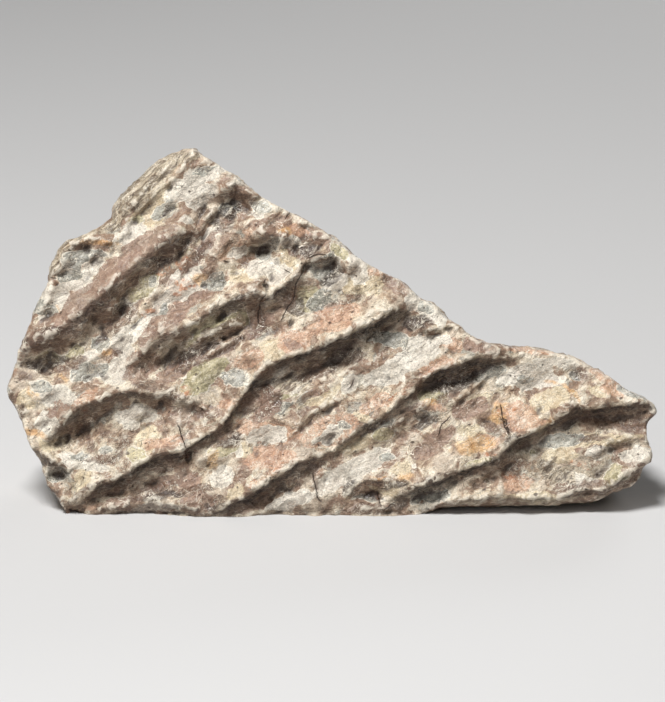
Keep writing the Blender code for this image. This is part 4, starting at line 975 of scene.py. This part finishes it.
class BoneMarks:
    """The noises and masks that the bone's colour and its finest relief are made from."""

    def __init__(self, paint):
        self.place = place = paint.stored_vector("place")
        self.bent = bent = paint.wobbled(place, 2.4, 1.6)
        self.face = paint.stored("face")
        self.back = paint.stored("back")
        self.sides = 1.0 - self.face - self.back
        self.hollow = paint.stored("hollow")

        self.wide = paint.noise(place, 5.0, 3.0)
        self.lobes = paint.noise(bent, 2.1, 2.0, 0.45, 0.4)
        self.knots = paint.noise(bent, 0.95, 2.0, 0.45, 0.5)
        self.fine = paint.noise(place, 0.42, 2.0, 0.5)
        self.grit = paint.noise(place, 0.17, 1.0, 0.5)
        self.streaks = paint.lines(place, GRAIN_TURN, 0.3, 0.6, 3.0, 0.6, 0.5)
        self.hairs = paint.lines(place, 14.0, 0.42, 0.23, 1.0, 0.5, 0.6)
        self.ragged = 0.34 * self.lobes + 0.16 * self.knots  # added to a stain's reach, it tears its edge
        self.field = self.lobes + 0.35 * self.wide + 0.12 * self.knots

        self.curls = paint.noise(bent, 0.7, 1.0, 0.5, 1.4).near(0.0, 0.16)
        self.swirl = (paint.stored("swirl") + self.ragged).above(0.0, 0.3)
        self.seams = paint.lines(bent, 34.0, 0.25, 1.3, 2.0, 0.5, 0.6).near(0.0, 0.035)
        self.cell = paint.cells(place, 0.62)
        self.rings = self.cell.near(0.24, 0.09)
        self.pits = paint.cells(paint.wobbled(place, 3.0, 2.0), 1.7).below(0.09, 0.03)
        self.polish = paint.stored("polish").above(0.1, 0.4)
        # how far the surface faces down, which sets where the painted shade of the flanks lies
        self.flank = (paint.stored("flank") + 0.10 * self.hairs).above(0.26, 0.20)

        # Clear grey mineral floors the bowls.
        self.bowl = paint.stored("bowl")
        self.floor = (self.bowl + 0.20 * self.lobes + 0.08 * self.knots).below(0.36, 0.03)
        self.clear = (paint.stored("grey") + self.ragged).above(0.1, 0.1) + self.floor * 0.5

        layer_stretch = (0.16, 0.16, 1.0)
        self.laminae = paint.noise(paint.stretched(bent, 0.0, layer_stretch), 0.8, 4.0, 0.65, 0.3)
        self.growth = paint.lines(bent, 28.0, 0.14, 0.9, 4.0, 0.6, 0.3)
        self.pores = paint.cells(place, 0.9).below(0.22, 0.08) * self.lobes.above(-0.1, 0.2)
        self.crack_side = paint.stored("crack_side") + 0.05 * self.fine
        self.crack_open = paint.stored("crack_open") * self.face
        self.crack = (self.crack_side + 0.04 * self.knots).near(0.0, 0.085) * self.crack_open


def bare_bone(paint, marks):
    """Bare bone in a few tones that meet in crisp, pale-edged lobes, with clear mineral in its bowls."""
    wide, lobes, knots, field = marks.wide, marks.lobes, marks.knots, marks.field
    colour = paint.blend(wide.above(0.0, 0.5), tint(160, 134, 114), tint(188, 166, 142))
    floor = marks.floor * marks.face * lobes.above(-0.15, 0.25)
    bowl_rim = (marks.bowl + 0.12 * knots).above(0.84, 0.10) * marks.face
    return paint.covered(colour, [
        (field.below(-0.22, 0.04) * 0.6, tint(138, 112, 94)),
        (field.above(0.10, 0.04) * 0.7, tint(212, 198, 174)),
        (field.near(0.09, 0.03) * 0.5, tint(232, 220, 202)),
        ((knots + 0.5 * lobes).above(0.40, 0.04) * 0.5, tint(224, 212, 194)),
        ((knots - 0.4 * wide).below(-0.40, 0.04) * 0.4, tint(116, 92, 76)),
        (floor * 0.75, tint(156, 154, 144)),
        (bowl_rim * 0.5, tint(228, 216, 196)),
    ])


def stained(paint, marks, colour):
    """The minerals laid on the face, each torn at its edge and mottled between its two colours."""
    wide, knots = marks.wide, marks.knots
    mottle = (0.5 * knots + 0.3 * marks.streaks + 0.5 * wide).above(0.0, 0.8)
    specks = 0.25 + 0.75 * paint.cells(marks.bent, 0.8).below(0.42, 0.06)
    layers = paint.lines(marks.bent, FIBRE_TURN, 0.14, 0.42, 3.0, 0.65, 0.5).above(0.05, 0.22)
    for name, (low, high, cover, softness) in MINERALS.items():
        reach = paint.stored(name) + marks.ragged
        share = reach.above(0.0, softness) * marks.face * cover
        if name == "rust":
            share = share * specks
        if name == "mauve":
            share = share * (0.75 + 0.25 * wide.above(-0.1, 0.5))
        tone = paint.blend(layers if name == "fibre" else mottle, low, high)
        colour = paint.blend(share, colour, tone)
        if name in RIMMED:
            rim = reach.near(-0.04, 0.11) * wide.above(-0.4, 0.4)
            colour = paint.blend(rim * marks.face * 0.85, colour, tint(238, 230, 214))
    return colour


def veined(paint, marks, colour):
    """Thin pale veins, curls, rings and scratches of agate, and a few dark seams."""
    wide, lobes, knots, face = marks.wide, marks.lobes, marks.knots, marks.face
    veins = paint.noise(marks.bent, 1.6, 2.0, 0.5, 1.0).near(0.0, 0.05)
    busy = lobes.above(0.0, 0.4) * (1.0 - 0.8 * marks.polish)
    scratches = paint.lines(marks.bent, 24.0, 0.25, 0.55, 1.0, 0.5, 0.8).near(0.0, 0.10)
    strokes = paint.lines(marks.bent, 72.0, 0.30, 0.50, 1.0, 0.5, 0.8).near(0.0, 0.10)
    rough_bone = face * (1.0 - 0.85 * (paint.stored("mauve") + marks.ragged).above(0.0, 0.2))
    return paint.covered(colour, [
        (veins * (0.2 + 0.7 * busy) * face, AGATE),
        (marks.curls * (0.02 + 0.6 * marks.swirl) * face, AGATE),
        (marks.rings * marks.clear * knots.above(-0.3, 0.2) * face * 0.8, AGATE),
        (marks.cell.below(0.10, 0.05) * marks.clear * face * 0.6, tint(96, 92, 86)),
        (scratches * lobes.above(-0.05, 0.25) * rough_bone * 0.5, AGATE),
        (strokes * knots.above(0.0, 0.25) * rough_bone * (1.0 - marks.polish) * 0.42, AGATE),
        (marks.seams * wide.above(-0.1, 0.3) * rough_bone * 0.55, tint(92, 70, 56)),
    ])


def flanks_with_painted_shade(paint, marks, colour):
    """Painted shade on the steep flanks that face down and in the strip under each brow, fine hairs combed
    across the flanks, and a pale edge along each brow that is partly wear and partly painted highlight.
    """
    wide, lobes, knots, face, flank = marks.wide, marks.lobes, marks.knots, marks.face, marks.flank
    # painted shade: the flanks that face down are laid with a darker tone
    painted_flank_shade = paint.blend((knots + 0.5 * lobes).above(0.0, 0.2), tint(98, 74, 60), tint(152, 128, 108))
    # painted shadow just under each crest's brow
    painted_brow_shadow = paint.stored("painted_brow_shadow") * (1.1 + 0.6 * knots + 0.6 * lobes)
    combed = flank * (1.3 - flank) * face * (0.4 + 0.8 * knots.above(-0.2, 0.3))
    # pale edge along the brows: partly wear, partly painted highlight
    brow_wear_and_highlight = paint.stored("brow_wear_and_highlight") * (knots + 0.4 * wide).above(-0.1, 0.4)
    return paint.covered(colour, [
        (flank * face * (0.2 + 0.4 * lobes.below(0.1, 0.3)), painted_flank_shade),
        (painted_brow_shadow * face * 0.8, tint(42, 31, 26)),
        (marks.hairs.above(0.20, 0.12) * combed * 0.6, tint(182, 160, 137)),
        (marks.hairs.below(-0.20, 0.12) * combed * 0.8, tint(46, 34, 27)),
        (brow_wear_and_highlight * face * 0.75, tint(230, 216, 192)),
    ])


def broken_sides(paint, marks):
    """The bone's thin layers and its pores, as they show where it is broken."""
    laminae = marks.laminae
    layers = paint.blend(laminae.above(0.0, 0.22), tint(116, 96, 80), tint(190, 172, 148))
    return paint.covered(layers, [
        (laminae.near(0.3, 0.08) * 0.6, tint(222, 208, 186)),
        (marks.wide.above(0.25, 0.1) * 0.4, tint(150, 146, 136)),
        (marks.pores * 0.8, tint(70, 54, 44)),
    ])


def plain_back(paint, marks):
    """The back, with soft growth lines and few pores."""
    growth = marks.growth
    plain = paint.blend((growth + 0.4 * marks.wide).above(0.0, 0.5), tint(150, 130, 111), tint(178, 160, 138))
    return paint.covered(plain, [
        (marks.field.above(0.25, 0.05) * 0.35, tint(196, 184, 162)),
        (growth.near(-0.25, 0.07) * 0.5, tint(110, 92, 78)),
        (marks.pores * 0.5, tint(84, 68, 58)),
    ])


def aged_with_painted_light(paint, marks, colour):
    """Grain all over; painted shade, with some soiling, in the hollows and creases and towards the foot; pale
    crests that are partly wear and partly painted highlight; pits and open cracks.
    """
    lobes, knots, fine, face, hollow = marks.lobes, marks.knots, marks.fine, marks.face, marks.hollow
    light = 1.0 + 0.13 * fine + 0.08 * marks.streaks + 0.27 * marks.grit
    warm = paint.node("ShaderNodeCombineColor", {}, [light, 0.99 * light, 0.97 * light])
    colour = paint.blend(1.0, colour, warm, "MULTIPLY")
    # painted shade, with some soiling, darkening the wide hollows
    hollow_shade_and_grime = (paint.stored("sunk") + 0.25 * hollow + 0.18 * lobes + 0.10 * knots).above(0.42, 0.16)
    # painted shade: darker towards the foot, near the ground
    height = paint.node("ShaderNodeSeparateXYZ", {}, [marks.place], "Y") + 0.8 * lobes
    # painted shade, with some soiling, in the small hollows and creases
    crease_shade_and_dirt = (hollow + 0.03 * fine).above(0.11, 0.07)
    # pale on the crests: partly wear, partly painted highlight
    crest_wear_and_highlight = (0.0 - hollow).above(0.09, 0.05) * (knots + 0.5 * lobes).above(0.0, 0.2)
    halo = marks.crack_side.near(0.0, 0.6) * marks.crack_open * knots.above(0.0, 0.4)
    return paint.covered(colour, [
        (hollow_shade_and_grime * face * 0.7, tint(68, 50, 40)),
        (height.below(2.2, 1.4) * 0.25, tint(88, 70, 58)),
        (crease_shade_and_dirt * (0.7 * face + 0.2 * marks.sides), tint(48, 35, 28)),
        (crest_wear_and_highlight * (0.6 * face + 0.2 * marks.sides), tint(240, 230, 212)),
        (marks.pits * face * 0.75, tint(66, 50, 42)),
        (halo * 0.6, tint(96, 62, 42)),
        (marks.crack * 0.85, tint(44, 30, 22)),
    ])


def bone_relief(marks):
    """The finest relief, as a share of BUMP_HEIGHT."""
    relief = 0.020 * marks.grit + 0.035 * marks.fine + 0.05 * marks.streaks + 0.07 * marks.knots
    relief = relief + 0.06 * marks.curls * marks.swirl + 0.08 * marks.seams
    relief = relief + marks.sides * (0.12 * marks.laminae - 0.25 * marks.pores)
    relief = relief + marks.back * (0.08 * marks.growth) + 0.07 * marks.hairs * marks.flank
    return relief + 0.05 * (1.0 - marks.rings) * marks.clear - 0.12 * marks.pits - 0.35 * marks.crack


def bone_material():
    paint = Paint("fossil_bone")
    marks = BoneMarks(paint)
    colour = bare_bone(paint, marks)
    colour = stained(paint, marks, colour)
    colour = veined(paint, marks, colour)
    colour = flanks_with_painted_shade(paint, marks, colour)
    colour = paint.blend(marks.sides * 0.8, colour, broken_sides(paint, marks))
    colour = paint.blend(marks.back * 0.85, colour, plain_back(paint, marks))
    colour = aged_with_painted_light(paint, marks, colour)
    height = {"Strength": 1.0, "Distance": BUMP_HEIGHT, "Height": bone_relief(marks)}
    bump = paint.node("ShaderNodeBump", {}, height)
    rough = 0.42 + 0.12 * marks.fine - 0.08 * marks.lobes + 0.08 * marks.wide - 0.16 * marks.clear
    surface = paint.node("ShaderNodeBsdfPrincipled", {}, {
        "Base Color": colour, "Roughness": rough, "Normal": bump, "Specular IOR Level": 0.45})
    paint.node("ShaderNodeOutputMaterial", {}, {"Surface": surface})
    return paint.material


# ---------------------------------------------------------------- the piece and its stage


def make_bone():
    """Makes the finished piece, and returns the point of the upright shape that became the origin."""
    piece = flat_slab()
    remeshed(piece, SHAPE_VOXEL)
    draw_out(piece.data)
    remeshed(piece, MESH_VOXEL)
    thin_hidden_faces(piece)
    roughen(piece.data)
    note_surface(piece.data)
    cut_base(piece.data)
    shift = ground_middle(piece.data)
    piece.data.transform(Matrix.Translation(-shift))
    piece.data.transform(Matrix.Scale(MM, 4))
    piece.data.materials.clear()
    piece.data.materials.append(bone_material())
    piece.data.shade_smooth()
    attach(piece, "root")
    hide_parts("scute")
    return shift


def make_floor():
    bpy.ops.object.select_all(action="DESELECT")
    bpy.ops.mesh.primitive_plane_add(size=6.0)
    floor = bpy.context.object
    floor.name = "floor"
    paint = Paint("pale_floor")
    surface = paint.node("ShaderNodeBsdfPrincipled", {}, {
        "Base Color": tint(208, 207, 206), "Roughness": 0.9})
    paint.node("ShaderNodeOutputMaterial", {}, {"Surface": surface})
    floor.data.materials.append(paint.material)


def add_lamp(name, place, size, power):
    lamp = bpy.data.lights.new(name, "AREA")
    lamp.shape = "DISK"
    lamp.size = size
    lamp.energy = power
    holder = bpy.data.objects.new(name, lamp)
    holder.location = place
    holder.rotation_euler = (Vector(LAMPS_AIM_AT) - Vector(place)).to_track_quat("-Z", "Y").to_euler()
    bpy.context.scene.collection.objects.link(holder)


def light_room():
    world = bpy.data.worlds.new("room")
    world.use_nodes = True
    background = world.node_tree.nodes["Background"]
    background.inputs["Color"].default_value = (1.0, 1.0, 1.0, 1.0)
    background.inputs["Strength"].default_value = ROOM_LIGHT
    bpy.context.scene.world = world
    bpy.context.scene.view_settings.view_transform = "Standard"
    add_lamp("overhead", (-0.14, -0.24, 0.58), 0.20, 4.8)
    add_lamp("front_fill", (-0.35, -0.60, 0.30), 0.50, 0.8)
    add_lamp("rear_fill", (0.30, 0.70, 0.34), 0.40, 1.4)


def place_camera(shift):
    lens = bpy.data.cameras.new("camera")
    lens.sensor_width = SENSOR_WIDTH
    lens.lens = SENSOR_WIDTH * VIEW_DISTANCE / VIEW_HEIGHT_ON_FACE
    camera = bpy.data.objects.new("camera", lens)
    upright = Matrix.Rotation(math.pi / 2 - LEAN, 4, "X")
    eye = (upright @ Vector((*VIEW_CENTRE, VIEW_DISTANCE)) - shift) * MM
    camera.matrix_world = Matrix.Translation(eye) @ upright
    bpy.context.scene.collection.objects.link(camera)
    bpy.context.scene.camera = camera


ground_shift = make_bone()
make_floor()
light_room()
place_camera(ground_shift)
